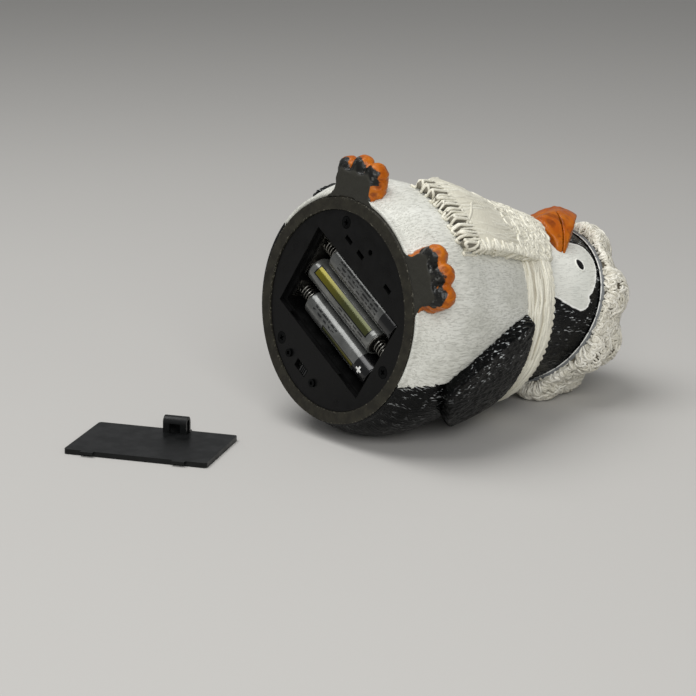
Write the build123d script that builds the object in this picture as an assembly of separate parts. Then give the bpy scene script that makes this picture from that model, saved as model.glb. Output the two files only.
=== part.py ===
"""Painted resin penguin figurine with a battery base, lying on its back as it does on a bench.

The figure is drawn upright: its soles lie on Z = 0, its front faces -Y and its own left is +X.
Azimuths run from the front towards the figure's left. It is then laid down, battery base
towards -X, with the cover of the battery bay taken off and laid on the floor beside the base.
All lengths are in millimetres and all angles in degrees.
"""
from build123d import *
import math
import os

os.makedirs("parts", exist_ok=True)

# Clearances
seam_gap = 0.12          # between pieces of the casting that are shown apart
cast_fit = 0.3           # between a curved face and what is seated against it
overrun = 4.0            # how far a cutting solid runs past what it cuts

# Body of the casting
body_height = 72.0
belly_swell = 6.2        # how far the belly stands out past the rim
belly_forward = 1.2
belly_radius_shares = (0.85, 0.985, 1.0, 0.945, 0.868, 0.73)
belly_height_shares = (0.0, 0.16, 0.27, 0.49, 0.72, 1.0)
rim_width = 4.6
rim_height = 2.6
bore_height = 40.0
throat_radius = 20.0

# Head of the casting
head_radius_share = 0.66  # of the belly's radius
neck_length = 35.0
head_wall = 6.0
neck_radius_shares = (0.724, 0.67, 0.652)
neck_height_shares = (0.0, 0.3, 0.6)
head_turn = -24.0

# Beak
beak_width = 41.0
beak_proud = 8.3         # in front of the head
beak_depth = 14.8
beak_ridge = 14.8
beak_ridge_edge = 3.5
beak_corner_drop = 7.6
beak_chin_drop = 12.0
beak_swell = 18.5
beak_rise = 1.8          # of the fullest part over the middle of the head
beak_edge = 1.0
mouth_lift = -0.4
mouth_drop = 7.0
mouth_gap = 0.3

# Eyes
eye_azimuth = 41.0
eye_drop = 1.2
eye_width = 2.6
eye_height = 3.6
eye_proud = 0.5

# Hat
hat_thickness = 3.7
hat_tilt = 22.0
hem_offset = 1.9
hem_height = 1.4
hem_proud = 1.6
lobe_radius = 11.5
lobe_proud = 4.0
lobe_elevations = (14.0, 41.0, 67.0, 90.0)
lobe_counts = (8, 7, 4, 1)
lobe_split = 78.8        # angle on the hat that lies between two lobes of each row, where it rests

# Scarf
collar_offset = 0.6      # from the neck out to the middle of the band
collar_thickness = 9.0
collar_width = 17.0
collar_rise = 1.5        # above the top of the body
collar_tilt = 6.0
collar_tilt_azimuth = 80.0
tail_azimuths = (-45.0, 20.0)
tail_corner = -21.0      # azimuth of the lower corner at its far side
tail_lean = 34.0         # of the edge that rises from there
tail_bottom = 29.0
tail_top_drop = 18.0     # below the middle of the head
tail_top_slope = 29.0
tail_crest_drop = 10.0
tail_proud = 2.4
tail_radius_shares = (1.0, 0.985, 0.925, 0.858, 0.797, 0.757, 0.712, 0.675)
tail_height_shares = (0.0, 0.176, 0.338, 0.485, 0.632, 0.779, 0.89, 1.0)
fringe_count = 10
fringe_radius = 1.5
fringe_length = 6.5

# Flippers
left_flipper_azimuth = 86.0
right_flipper_azimuth = 82.0
flipper_width = 44.0
flipper_length = 48.0
flipper_top_drop = 9.0   # below the top of the body
flipper_proud = 5.2
flipper_width_shares = (-0.55, -0.5, -0.39, -0.25, -0.1, 0.08, 0.27, 0.47, 0.65, 0.65)
flipper_drop_shares = (0.0, 0.34, 0.61, 0.86, 0.965, 0.87, 0.74, 0.47, 0.3, 0.0)

# Feet
foot_azimuth = 31.5
foot_proud = 8.4         # past the belly
foot_length = 17.1
foot_width = 21.0
foot_waist = 18.4
foot_web = 7.5           # how far the sole spreads to each side inside the rim
sole_inset = 4.4         # from the toes' ends back to the sole's front edge
sole_corner = 4.0
waist_round = 3.0
foot_thickness = 7.5
toe_count = 3
toe_radius = 4.6
toe_spacing = 7.6
toe_lift = 4.9
toe_stagger = 1.6

# Battery box
box_margin = 2.0         # from the tub's corners to the edge of the plate
box_recess = 0.6
box_fit = 0.2
plate_thickness = 2.2
bay_centre_x = 0.7
bay_centre_y = 0.0
bay_turn = -4.0
bay_end_room = 9.5       # for the contacts and springs
bay_side_room = 0.3
tub_wall = 1.2
tub_floor = 1.5
cradle_width = 1.4
cradle_height = 3.0
cradle_length = 30.0

# Battery box screws
screw_count = 3
screw_margin = 0.5       # from the tub to a boss
screw_start = -3.0
screw_radius = 1.2
screw_head_radius = 2.3
screw_head_height = 1.5
screw_length = 10.0
screw_fit = 0.15
boss_radius = 3.1
boss_height = 14.0
cross_width = 0.6
cross_depth = 0.7

# Unused slots and the small hole in the base plate
slot_length = 4.2
slot_width = 1.9
slot_places = ((-13.0, 5.1), (-4.6, 5.4), (14.6, 6.5))     # along the tub and away from it
vent_radius = 1.1
vent_place = (-1.2, 9.9)

# Cover and its latch
cover_end_land = 1.2
cover_side_land = 0.9
cover_thickness = 2.0
cover_fit = 0.3
cover_corner = 1.2
tab_length = 5.0
tab_reach = 1.5
tab_thickness = 1.1
tab_shares = (0.17, 0.81)
latch_share = 0.58
latch_width = 9.4
latch_height = 8.3
latch_thickness = 1.2
latch_gap = 2.8
latch_foot = 1.5
latch_lift = 0.8
latch_window = 4.4
latch_clearance = 0.3
cover_aside = 32.8       # from the base to the near end of the cover, if it lay straight
cover_along = 34.4
cover_turn = -56.9

# Battery cells, size AAA
cell_count = 3
cell_radius = 5.25
cell_length = 44.5
cell_nub_radius = 1.9
cell_nub_length = 0.9
cell_edge = 0.5
cell_pitch = 11.3
cell_headroom = 1.1
cell_fit = 0.3

# Contacts
contact_thickness = 0.4
contact_width = 8.0
contact_height = 8.2
dimple_radius = 1.5
dimple_height = 0.5
spring_radius = 2.7
spring_wire = 0.3
spring_turns = 5
spring_land = 0.1

# Switch
switch_x = 0.6
switch_shift = 1.75      # outwards from the middle between tub and edge
switch_frame_length = 21.5
switch_frame_width = 6.2
switch_frame_thickness = 0.5
switch_can_length = 12.4
switch_can_height = 4.6
switch_slot_length = 7.4
switch_slot_width = 3.6
switch_travel = 3.0
slider_length = 3.6
slider_width = 2.8
slider_depth = 2.0
slider_fit = 0.4
switch_screw_pitch = 17.4
switch_screw_radius = 0.9
switch_screw_head = 1.6
switch_screw_head_height = 0.8
switch_screw_length = 3.4

# Driver board and lamp inside the casting
board_length = 34.0
board_width = 22.0
board_thickness = 1.4
board_standoff = 2.0
board_post = 4.0
board_post_share = 0.38
chip_size = 5.0
chip_height = 1.5
lamp_radius = 2.5
lamp_height = 5.6
lamp_flange = 3.0
lamp_flange_height = 1.0
lead_radius = 0.3
lead_spacing = 2.54
lead_height = 16.0

# How the figure lies
nose_down = 6.8
roll_left = 34.13

BASE = (Align.CENTER, Align.CENTER, Align.MIN)
SEAM_TURN = Rot(20, 60, 15)     # keeps the poles of fused spheres out of each other's way

# Sizes that follow
bay_length = cell_length + bay_end_room
bay_width = cell_count * cell_pitch + bay_side_room
cover_length = bay_length + 2 * cover_end_land
cover_width = bay_width + 2 * cover_side_land
tub_half_length = cover_length / 2 + cover_fit + tub_wall
tub_half_width = cover_width / 2 + cover_fit + tub_wall
box_radius = math.hypot(tub_half_length, tub_half_width) + bay_centre_x + box_margin
screw_circle = tub_half_length + bay_centre_x + boss_radius + screw_margin
switch_y = (tub_half_width + box_radius) / 2 + switch_shift
bore_radius = box_radius + box_fit
rim_radius = bore_radius + rim_width
belly_radius = rim_radius + belly_swell
tail_radius = belly_radius + tail_proud
foot_reach = belly_radius + foot_proud
foot_heel = foot_reach - foot_length
head_height = body_height + neck_length
head_radius = head_radius_share * belly_radius
beak_reach = head_radius + beak_proud
beak_root = beak_reach - beak_depth
hat_radius = head_radius + hat_thickness
lobe_reach = hat_radius + lobe_proud
collar_radius = neck_radius_shares[0] * belly_radius + collar_offset
collar_height = body_height + collar_rise
tail_top = head_height - tail_top_drop
tail_crest = head_height - tail_crest_drop
flipper_top = body_height - flipper_top_drop
plate_top = box_recess + plate_thickness
tub_depth = cover_thickness + cell_headroom + 2 * cell_radius + cell_fit + tub_floor
tub_top = box_recess + tub_depth
cell_axis = box_recess + cover_thickness + cell_headroom + cell_radius
cell_reach = bay_length / 2 - contact_thickness - dimple_height
BAY = Pos(bay_centre_x, bay_centre_y, 0) * Rot(0, 0, bay_turn)
SWITCH = Pos(switch_x, switch_y, 0) * Rot(0, 0, bay_turn)
HEAD = Pos(0, 0, head_height) * Rot(0, 0, head_turn)
HAT = HEAD * Rot(-hat_tilt, 0, 0)
COVER = Pos(-cover_length / 2 - cover_aside, cover_along, 0) * Rot(0, 0, cover_turn)
LYING = Rot(0, 90 + nose_down, 0) * Rot(0, 0, roll_left - 90)


def polar(radius, azimuth):
    """Point at an azimuth from the front towards the figure's left."""
    angle = math.radians(azimuth)
    return (radius * math.sin(angle), -radius * math.cos(angle))


def sector(first, last, reach, height):
    """Wedge between two azimuths, from the axis outwards."""
    corners = [polar(reach, first), polar(reach, (first + last) / 2), polar(reach, last)]
    return extrude(make_face(Polyline((0, 0), *corners, close=True)), height)


def forwards(face, reach):
    """Prism of a face drawn in the plane of left and up, extruded towards the front."""
    return extrude(Plane.XZ * face, reach, dir=(0, -1, 0))


def turned(skin):
    """Solid of revolution under a curve of radius against height."""
    first = skin @ 0
    last = skin @ 1
    closing = Polyline(last, (0, last.Y), (0, first.Y), first) if last.X > seam_gap else Polyline(
        last, (0, first.Y), first)
    return revolve(make_face(Plane.XZ * (skin + closing)), Axis.Z)


def belly(grown=0.0):
    """Outer skin of the body, moved outwards by grown."""
    shares = zip(belly_radius_shares, belly_height_shares)
    skin = Spline(*[(share * belly_radius + grown, height * body_height) for share, height in shares])
    return Pos(0, -belly_forward, 0) * turned(skin)


def skull(grown=0.0):
    """Outer skin of the neck and head, moved outwards by grown."""
    rise = head_height - body_height
    shares = zip(neck_radius_shares, neck_height_shares)
    neck = [(share * belly_radius + grown, body_height + height * rise) for share, height in shares]
    cheek = (head_radius + grown, head_height)
    diagonal = (head_radius + grown) * math.sqrt(0.5)
    dome = ThreePointArc(cheek, (diagonal, head_height + diagonal), (0, head_height + head_radius + grown))
    skin = Spline(*neck, cheek, tangents=[(neck[1][0] - neck[0][0], neck[1][1] - neck[0][1]), (0, 1)])
    return turned(skin + dome)


def at_screws(shape, height):
    """Copies of a shape on the axes of the screws that hold the battery box."""
    return [Pos(0, 0, height) * place * shape for place in PolarLocations(screw_circle, screw_count, screw_start)]


def screw(radius, length, head_radius, head_height):
    """Pan head screw with a cross recess: head outwards (-Z), shank along +Z."""
    head = Pos(0, 0, -head_height) * Cylinder(head_radius, head_height, align=BASE)
    shank = Cylinder(radius, length, align=BASE)
    cross = Box(head_radius, cross_width, cross_depth, align=BASE)
    cross += Box(cross_width, head_radius, cross_depth, align=BASE)
    return head + shank - Pos(0, 0, -head_height) * cross


def body_casting():
    """Hollow body with its rim, open below for the battery box and above into the head."""
    solid = belly() + Cylinder(rim_radius, rim_height, align=BASE)
    well = Polyline((0, -overrun), (bore_radius, -overrun), (bore_radius, bore_height),
                    (throat_radius, body_height), (0, body_height), close=True)
    solid -= revolve(make_face(Plane.XZ * well), Axis.Z)
    boss = Cylinder(boss_radius, boss_height, align=BASE)
    web_length = bore_radius + box_fit + tub_wall - screw_circle
    boss += Pos(web_length / 2, 0, 0) * Box(web_length, boss_radius, boss_height, align=BASE)
    boss -= Cylinder(screw_radius, screw_length, align=BASE)
    return solid + at_screws(boss, plate_top)


def head_casting():
    """Hollow head, cut flat where it meets the body."""
    hollow = Pos(0, 0, head_height) * Sphere(head_radius - head_wall)
    hollow += Pos(0, 0, body_height) * Cylinder(throat_radius, head_height - body_height, align=BASE)
    return skull() - hollow


def beak_blank(grown=0.0):
    """Both halves of the beak in one, ridged above and rounded in front, moved outwards by grown."""
    corner = (beak_width / 2, -beak_corner_drop)
    gable = make_face(Polyline((0, beak_ridge), corner, (0, -beak_chin_drop), (-corner[0], corner[1]), close=True))
    ridge = gable.vertices().sort_by(Axis.Y)[-1]
    gable = fillet(ridge, beak_ridge_edge)
    corners = gable.vertices().sort_by(Axis.Y)[:3]
    gable = offset(fillet(corners, beak_edge), grown)
    halves = (beak_width / 2 + grown, beak_reach - beak_root + grown, beak_swell + grown)
    return HEAD * (forwards(gable, 2 * beak_reach) & Pos(0, -beak_root, beak_rise) * scale(Sphere(1), halves))


def beak_halves():
    """Upper and lower beak, parted by a mouth line that drops towards its corners."""
    blank = beak_blank() - skull(seam_gap)
    slope = mouth_drop / (beak_width / 2)
    reach = beak_width
    roof = Polyline((-reach, mouth_lift - slope * reach), (0, mouth_lift), (reach, mouth_lift - slope * reach),
                    (reach, -beak_reach), (-reach, -beak_reach), close=True)
    under = HEAD * forwards(make_face(roof), 2 * beak_reach)
    return blank - Pos(0, 0, mouth_gap) * under, blank & under


def eye(side):
    """Oval bead of one eye, standing just proud of the face."""
    bead = forwards(Ellipse(eye_width / 2, eye_height / 2), head_radius + overrun)
    bead = HEAD * Rot(0, 0, side * eye_azimuth) * Pos(0, 0, -eye_drop) * bead
    bead &= skull(eye_proud)
    return bead - skull(seam_gap)


def hat_hem():
    """Smooth band round the hat's edge, open where the beak rises through it."""
    outer = head_radius + hem_proud
    band = Pos(0, 0, hem_offset - hem_height / 2) * Cylinder(outer, hem_height, align=BASE)
    return HAT * band - skull(cast_fit) - beak_blank(seam_gap)


def hat_crown():
    """Crown of the hat with its rows of shaggy lobes."""
    solid = SEAM_TURN * Sphere(hat_radius)
    centre = Pos(lobe_reach - lobe_radius, 0, 0)
    for elevation, count in zip(lobe_elevations, lobe_counts):
        for index in range(count):
            place = Rot(0, 0, lobe_split + 360 * (index + 0.5) / count) * Rot(0, -elevation, 0) * centre
            solid += place * SEAM_TURN * Sphere(lobe_radius)
    above = Pos(0, 0, hem_offset + hem_height / 2) * Cylinder(2 * hat_radius, 2 * hat_radius, align=BASE)
    return HAT * (solid & above) - skull(cast_fit) - beak_blank(seam_gap)


def scarf_tail():
    """Broad end of the scarf over the chest, with a row of fringe strands along its lower edge."""
    height = tail_crest - tail_bottom
    shares = zip(tail_radius_shares, tail_height_shares)
    points = [(share * tail_radius, tail_bottom + rise * height) for share, rise in shares]
    solid = Pos(0, -belly_forward, 0) * turned(Spline(*points))
    solid &= sector(*tail_azimuths, 2 * tail_radius, 2 * tail_crest)
    solid -= Pos(0, 0, tail_top) * Rot(0, tail_top_slope, 0) * Cylinder(2 * tail_crest, tail_crest, align=BASE)
    beyond = Box(tail_crest, tail_crest, 2 * tail_crest, align=(Align.MAX, Align.MAX, Align.CENTER))
    solid -= Rot(0, 0, tail_corner) * Pos(0, 0, tail_bottom) * Rot(0, -tail_lean, 0) * beyond
    solid = solid - belly(cast_fit) - skull(cast_fit) - beak_blank(cast_fit)
    strand = Cylinder(fringe_radius, fringe_length, align=BASE) + Sphere(fringe_radius)
    step = (tail_azimuths[1] - tail_corner) / fringe_count
    for index in range(fringe_count):
        azimuth = tail_corner + step * (index + 0.5)
        foot_point = polar(belly_radius + cast_fit + fringe_radius, azimuth)
        place = Pos(*foot_point, tail_bottom - fringe_length + fringe_radius)
        solid += Pos(0, -belly_forward, 0) * place * strand
    return solid


def scarf_collar():
    """Band of the scarf round the neck, from one side of the tail to the other."""
    section = Pos(collar_radius, 0) * Ellipse(collar_thickness / 2, collar_width / 2)
    ring = revolve(Plane.XZ * section, Axis.Z)
    turn = Rot(0, 0, collar_tilt_azimuth)
    ring = Pos(0, -belly_forward, collar_height) * turn * Rot(collar_tilt, 0, 0) * turn.inverse() * ring
    ring -= sector(*tail_azimuths, 2 * tail_radius, 2 * tail_crest)
    return ring - skull(cast_fit) - belly(cast_fit)


def flipper(azimuth):
    """Broad flipper laid along the body's left side, its middle at an azimuth."""
    shares = zip(flipper_width_shares, flipper_drop_shares)
    points = [(share * flipper_width, flipper_top - drop * flipper_length) for share, drop in shares]
    outline = Spline(*points) + Line(points[-1], points[0])
    blade = Rot(0, 0, azimuth) * forwards(make_face(outline), 2 * belly_radius)
    return blade & (belly(flipper_proud) - belly(seam_gap))


def foot(side):
    """Foot with a waisted sole level with the rim and three rounded toes that start just above it."""
    half_waist = foot_waist / 2
    half_width = foot_width / 2
    front = foot_reach - sole_inset
    corners = [(half_width + foot_web, foot_web / 2 - foot_heel),
               (half_waist, -foot_heel - half_width / 2), (half_width, -front)]
    outline = make_face(Polyline(*corners, *[(-x, y) for x, y in reversed(corners)], close=True))
    ranked = outline.vertices().sort_by(Axis.Y)
    outline = fillet(ranked[:2], sole_corner)
    outline = fillet(outline.vertices().filter_by(lambda v: abs(abs(v.X) - half_waist) < seam_gap), waist_round)
    solid = extrude(outline, foot_thickness)
    for index in range(toe_count):
        offset = index - (toe_count - 1) / 2
        root = -foot_heel - toe_radius
        length = foot_reach + toe_radius / 2 - toe_stagger * abs(offset) - toe_radius - foot_heel - toe_radius
        toe = Pos(offset * toe_spacing, root, toe_lift) * Rot(90, 0, 0) * Cylinder(toe_radius, length, align=BASE)
        toe += Pos(offset * toe_spacing, root - length, toe_lift) * Rot(90, 0, 0) * Sphere(toe_radius)
        solid += toe
    solid &= Cylinder(2 * foot_reach, foot_reach, align=BASE)
    solid = Rot(0, 0, side * foot_azimuth) * solid
    return solid - belly(seam_gap) - Cylinder(rim_radius + seam_gap, rim_height + seam_gap, align=BASE)


def battery_box():
    """Round base plate with the battery tub, screw holes, switch window and slots."""
    solid = Pos(0, 0, box_recess) * Cylinder(box_radius, plate_thickness, align=BASE)
    seat_length = cover_length + 2 * cover_fit
    seat_width = cover_width + 2 * cover_fit
    mouth = BAY * Pos(0, 0, box_recess)
    solid += mouth * Box(2 * tub_half_length, 2 * tub_half_width, tub_depth, align=BASE)
    solid -= mouth * Box(seat_length, seat_width, cover_thickness, align=BASE)
    solid -= mouth * Box(bay_length, bay_width, tub_depth - tub_floor, align=BASE)
    for side in (-1, 1):
        ridge = Box(cradle_length, cradle_width, cradle_height, align=(Align.CENTER, Align.CENTER, Align.MAX))
        solid += BAY * Pos(0, side * cell_pitch / 2, tub_top - tub_floor) * ridge
        post = Box(board_post, board_post, board_standoff, align=BASE)
        solid += BAY * Pos(side * board_length * board_post_share, 0, tub_top) * post
    for share in tab_shares:
        pocket = Box(tab_length + 2 * cover_fit, 2 * tub_wall, tab_thickness + cover_fit, align=BASE)
        along = (share - 0.5) * cover_length
        solid -= mouth * Pos(along, seat_width / 2, cover_thickness - tab_thickness - cover_fit) * pocket
    catch = Box(latch_width + 2 * cover_fit, 2 * latch_foot, latch_thickness + 2 * cover_fit, align=BASE)
    solid -= mouth * Pos((latch_share - 0.5) * cover_length, -seat_width / 2, latch_lift - cover_fit) * catch
    hole = Cylinder(screw_radius + screw_fit, plate_thickness, align=BASE)
    hole += Cylinder(screw_head_radius + screw_fit, screw_head_height, align=BASE)
    solid -= at_screws(hole, box_recess)
    slot = Box(slot_length, slot_width, plate_thickness, align=BASE)
    slots = [Pos(along, -tub_half_width - away, 0) * slot for along, away in slot_places]
    vent = Cylinder(vent_radius, plate_thickness, align=BASE)
    slots.append(Pos(vent_place[0], -tub_half_width - vent_place[1], 0) * vent)
    for slot in slots:
        solid -= Pos(0, 0, box_recess) * slot
    solid -= SWITCH * Pos(0, 0, box_recess) * Box(switch_slot_length, switch_slot_width, plate_thickness, align=BASE)
    for side in (-1, 1):
        hole = Cylinder(switch_screw_radius + screw_fit, plate_thickness, align=BASE)
        solid -= SWITCH * Pos(side * switch_screw_pitch / 2, 0, box_recess) * hole
    return solid


def box_screws():
    """The screws that hold the battery box in the casting."""
    one = screw(screw_radius, screw_length - screw_fit, screw_head_radius, screw_head_height)
    return at_screws(one, box_recess + screw_head_height)


def cell_row(index):
    """Offset of a cell's axis across the bay."""
    return (index - (cell_count - 1) / 2) * cell_pitch


def cell_way(index):
    """Way along the bay that a cell's positive end points: each lies the other way round from the last."""
    return -1 if index % 2 else 1


def battery(index):
    """One cell with its positive nub, lying along the bay."""
    can = Cylinder(cell_radius, cell_length - cell_nub_length, align=BASE)
    can = fillet(can.edges().filter_by(GeomType.CIRCLE), cell_edge)
    can += Cylinder(cell_nub_radius, cell_length, align=BASE)
    way = cell_way(index)
    start = way * (cell_reach - cell_length - spring_land)
    return BAY * Pos(start, cell_row(index), cell_axis) * Rot(0, 90 * way, 0) * can


def contact_plates():
    """Metal tabs on the two end walls: one end bridges the first pair of cells, the other the second."""
    solids = []
    for end, groups in ((-1, ((0, 1), (2, 2))), (1, ((0, 0), (1, 2)))):
        for first, last in groups:
            width = contact_width + cell_row(last) - cell_row(first)
            tab = Box(contact_thickness, width, contact_height)
            tab = Pos(end * (bay_length - contact_thickness) / 2, (cell_row(first) + cell_row(last)) / 2, 0) * tab
            for index in range(first, last + 1):
                if cell_way(index) == end:
                    dimple = Rot(0, 90, 0) * Cylinder(dimple_radius, dimple_height)
                    tab += Pos(end * (cell_reach + dimple_height / 2), cell_row(index), 0) * dimple
            solids.append(BAY * Pos(0, 0, cell_axis) * tab)
    return solids


def biarc(start, start_tangent, end, end_tangent):
    """Two tangent arcs that join one point and tangent to another."""
    chord = end - start
    bend = start_tangent.dot(end_tangent)
    along = chord.dot(start_tangent + end_tangent)
    reach = (math.sqrt(along * along + 2 * (1 - bend) * chord.dot(chord)) - along) / (2 * (1 - bend))
    middle = (start + end + (start_tangent - end_tangent) * reach) / 2
    first = TangentArc(start, middle, tangent=start_tangent)
    second = TangentArc(middle, end, tangent=(end - end_tangent * reach) - (start + start_tangent * reach))
    return [first, second]


def spring_path(length):
    """Coil along +Z in quarter turn biarcs, with a short straight land at each end."""
    rise = length - 2 * spring_land
    quarters = 4 * spring_turns
    climb = rise / quarters
    steepness = climb / (spring_radius * math.pi / 2)

    def point(number):
        angle = math.pi / 2 * number
        return Vector(spring_radius * math.cos(angle), spring_radius * math.sin(angle), climb * number)

    def tangent(number):
        angle = math.pi / 2 * number
        return Vector(-math.sin(angle), math.cos(angle), steepness).normalized()

    edges = []
    for number in range(quarters):
        edges += biarc(point(number), tangent(number), point(number + 1), tangent(number + 1))
    return Wire(edges), climb * 4


def contact_springs():
    """Coil springs that press on the flat ends of the cells."""
    length = bay_length / 2 - contact_thickness + cell_reach - cell_length - spring_land
    length -= 2 * spring_wire
    path, pitch = spring_path(length)
    print("contact spring: least gap between turns", round(pitch - 2 * spring_wire, 2), "mm")
    start = Plane(path @ 0, z_dir=path % 0)
    coil = sweep(start * Circle(spring_wire), path=path)
    solids = []
    for index in range(cell_count):
        way = cell_way(index)
        start_x = -way * (bay_length / 2 - contact_thickness - spring_wire - spring_land)
        solids.append(BAY * Pos(start_x, cell_row(index), cell_axis) * Rot(0, 90 * way, 0) * coil)
    return solids


def switch_body():
    """Slide switch behind the base plate: a metal frame with a can."""
    frame = Box(switch_frame_length, switch_frame_width, switch_frame_thickness, align=BASE)
    can = Box(switch_can_length, switch_frame_width, switch_can_height, align=BASE)
    pocket = Box(switch_slot_length, switch_slot_width, slider_depth + slider_fit, align=BASE)
    solid = frame + can - pocket
    for side in (-1, 1):
        hole = Cylinder(switch_screw_radius + screw_fit, switch_frame_thickness, align=BASE)
        solid -= Pos(side * switch_screw_pitch / 2, 0, 0) * hole
    return SWITCH * Pos(0, 0, plate_top) * solid


def switch_slider():
    """Button of the switch, at the end of its travel on the figure's left."""
    height = plate_thickness + slider_depth
    knob = Box(slider_length, slider_width, height, align=BASE)
    groove = Box(cross_width, slider_width, cross_depth, align=BASE)
    for step in (-1, 0, 1):
        knob -= Pos(step * slider_length / 4, 0, 0) * groove
    return SWITCH * Pos(switch_travel / 2, 0, box_recess) * knob


def switch_screws():
    """The two small screws beside the switch."""
    one = screw(switch_screw_radius, switch_screw_length, switch_screw_head, switch_screw_head_height)
    return [SWITCH * Pos(side * switch_screw_pitch / 2, 0, box_recess) * one for side in (-1, 1)]


def circuit_board():
    """Small driver board on the back of the battery tub."""
    board = Box(board_length, board_width, board_thickness, align=BASE)
    chip = Box(chip_size, chip_size, chip_height, align=BASE)
    board += Pos(-board_length / 4, 0, board_thickness) * chip
    return BAY * Pos(0, 0, tub_top + board_standoff) * board


def led_lamp():
    """Round lamp above the driver board, on its two leads."""
    height = tub_top + board_standoff + board_thickness + lead_height
    lamp = Cylinder(lamp_flange, lamp_flange_height, align=BASE) + Cylinder(lamp_radius, lamp_height, align=BASE)
    lamp += Pos(0, 0, lamp_height) * Sphere(lamp_radius)
    return BAY * Pos(0, 0, height) * lamp


def led_leads():
    """The lamp's two stiff leads."""
    height = tub_top + board_standoff + board_thickness
    lead = Cylinder(lead_radius, lead_height, align=BASE)
    return [BAY * Pos(side * lead_spacing / 2, 0, height) * lead for side in (-1, 1)]


def latch_place():
    """Where the latch stands on the cover: X outwards over the long edge, Z away from the plate."""
    outer = latch_gap / 2 + latch_thickness
    return Pos((latch_share - 0.5) * cover_length, cover_width / 2 - outer, 0) * Rot(0, 0, 90)


def cover_plate():
    """Cover of the battery bay, inner side up, with two tabs on one long edge and the latch's bend."""
    plate = Box(cover_length, cover_width, cover_thickness, align=BASE)
    plate = fillet(plate.edges().filter_by(Axis.Z), cover_corner)
    for share in tab_shares:
        tab = Box(tab_length, 2 * tab_reach, tab_thickness, align=BASE)
        along = (share - 0.5) * cover_length
        plate += Pos(along, -cover_width / 2, cover_thickness - tab_thickness) * tab
    outer = latch_gap / 2 + latch_thickness
    notch = Box(4 * outer, latch_width + 2 * latch_clearance, cover_thickness, align=BASE)
    plate -= latch_place() * Pos(outer, 0, 0) * notch
    top = latch_height - outer
    leg = Pos(-outer, 0, 0) * Box(latch_thickness, latch_width, top, align=(Align.MIN, Align.CENTER, Align.MIN))
    leg -= Pos(-outer, 0, cover_thickness) * Box(
        2 * latch_thickness, latch_window, top - cover_thickness, align=BASE)
    bend = Rot(90, 0, 0) * (Cylinder(outer, latch_width) - Cylinder(latch_gap / 2, latch_width))
    bend &= Box(2 * outer, latch_width, outer, align=BASE)
    return plate + latch_place() * (leg + Pos(0, 0, top) * bend)


def cover_latch():
    """Outer leg of the latch with its step, which springs in towards the inner leg."""
    outer = latch_gap / 2 + latch_thickness
    at_edge = (Align.MIN, Align.CENTER, Align.MIN)
    leg = Box(latch_thickness, latch_width, latch_height - outer - latch_lift, align=at_edge)
    leg += Box(latch_thickness + latch_foot, latch_width, latch_thickness, align=at_edge)
    return latch_place() * Pos(latch_gap / 2, 0, latch_lift) * leg


def gather(shape):
    """One compound of all the solids of a shape or of a list of shapes."""
    items = shape if isinstance(shape, list) else [shape]
    return Compound([solid for item in items for solid in item.solids()])


def report_datum(name, place):
    """Print a datum's place and its Z axis in the part's frame."""
    axis = Plane(place).z_dir
    position = [round(value, 3) for value in place.position]
    print(f"{name}: at {position} mm, axis {[round(value, 5) for value in (axis.X, axis.Y, axis.Z)]}")


figure = {
    "body_casting": body_casting(),
    "head_casting": head_casting(),
    "left_eye": eye(1),
    "right_eye": eye(-1),
    "hat_hem": hat_hem(),
    "hat_crown": hat_crown(),
    "scarf_tail": scarf_tail(),
    "scarf_collar": scarf_collar(),
    "left_flipper": flipper(left_flipper_azimuth),
    "right_flipper": mirror(flipper(right_flipper_azimuth), about=Plane.YZ),
    "left_foot": foot(1),
    "right_foot": foot(-1),
    "battery_box": battery_box(),
    "box_screws": box_screws(),
    "contact_plates": contact_plates(),
    "contact_springs": contact_springs(),
    "switch_body": switch_body(),
    "switch_slider": switch_slider(),
    "switch_screws": switch_screws(),
    "circuit_board": circuit_board(),
    "led_lamp": led_lamp(),
    "led_leads": led_leads(),
}
figure["beak_upper"], figure["beak_lower"] = beak_halves()
for number in range(cell_count):
    figure[f"battery_{number + 1}"] = battery(number)
laid = {name: LYING * gather(shape) for name, shape in figure.items()}

# The laid figure rests on the floor, and the part's origin is under the middle of the whole
resting = Pos(0, 0, -min(solid.bounding_box().min.Z for solid in laid.values()))
pieces = {name: resting * solid for name, solid in laid.items()}
pieces["cover_plate"] = COVER * gather(cover_plate())
pieces["cover_latch"] = COVER * gather(cover_latch())
whole = Compound(list(pieces.values())).bounding_box()
ORIGIN = Pos(-(whole.min.X + whole.max.X) / 2, -(whole.min.Y + whole.max.Y) / 2, 0)
for name, solid in pieces.items():
    export_step(ORIGIN * solid, f"parts/{name}.step")

# Datums that the joints and the mount refer to
FIGURE = ORIGIN * resting * LYING
bend_height = latch_height - latch_gap / 2 - latch_thickness
rim_middle = (bore_radius + rim_radius) / 2
report_datum("base plane, outwards", FIGURE * Rot(180, 0, 0))
report_datum("rim, outwards", FIGURE * Pos(rim_middle, 0, 0) * Rot(180, 0, 0))
report_datum("bay, outwards", FIGURE * BAY * Rot(180, 0, 0))
report_datum("switch, towards its other end", FIGURE * SWITCH * Rot(0, -90, 0))
report_datum("cover, upwards", ORIGIN * COVER)
report_datum("latch bend", ORIGIN * COVER * latch_place() * Pos(0, 0, bend_height) * Rot(90, 0, 0))
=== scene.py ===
"""Looks of a painted resin penguin figurine that lies on its back beside the cover of its battery bay.

Pieces of the casting are sculpted in the figure's own frame, in millimetres: its soles lie on Z = 0,
its front faces -Y, its own left is +X, and azimuths run from the front towards its left. They are then
laid down where the CAD model lies. Everything else stays in the part's frame, in metres.
"""

import logging
import math
from collections.abc import Callable, Sequence
from dataclasses import dataclass, field
from enum import Enum
from functools import reduce

import bmesh
import bpy
import numpy as np
from mathutils import Matrix, Quaternion, Vector, noise
from mathutils.bvhtree import BVHTree


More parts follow.
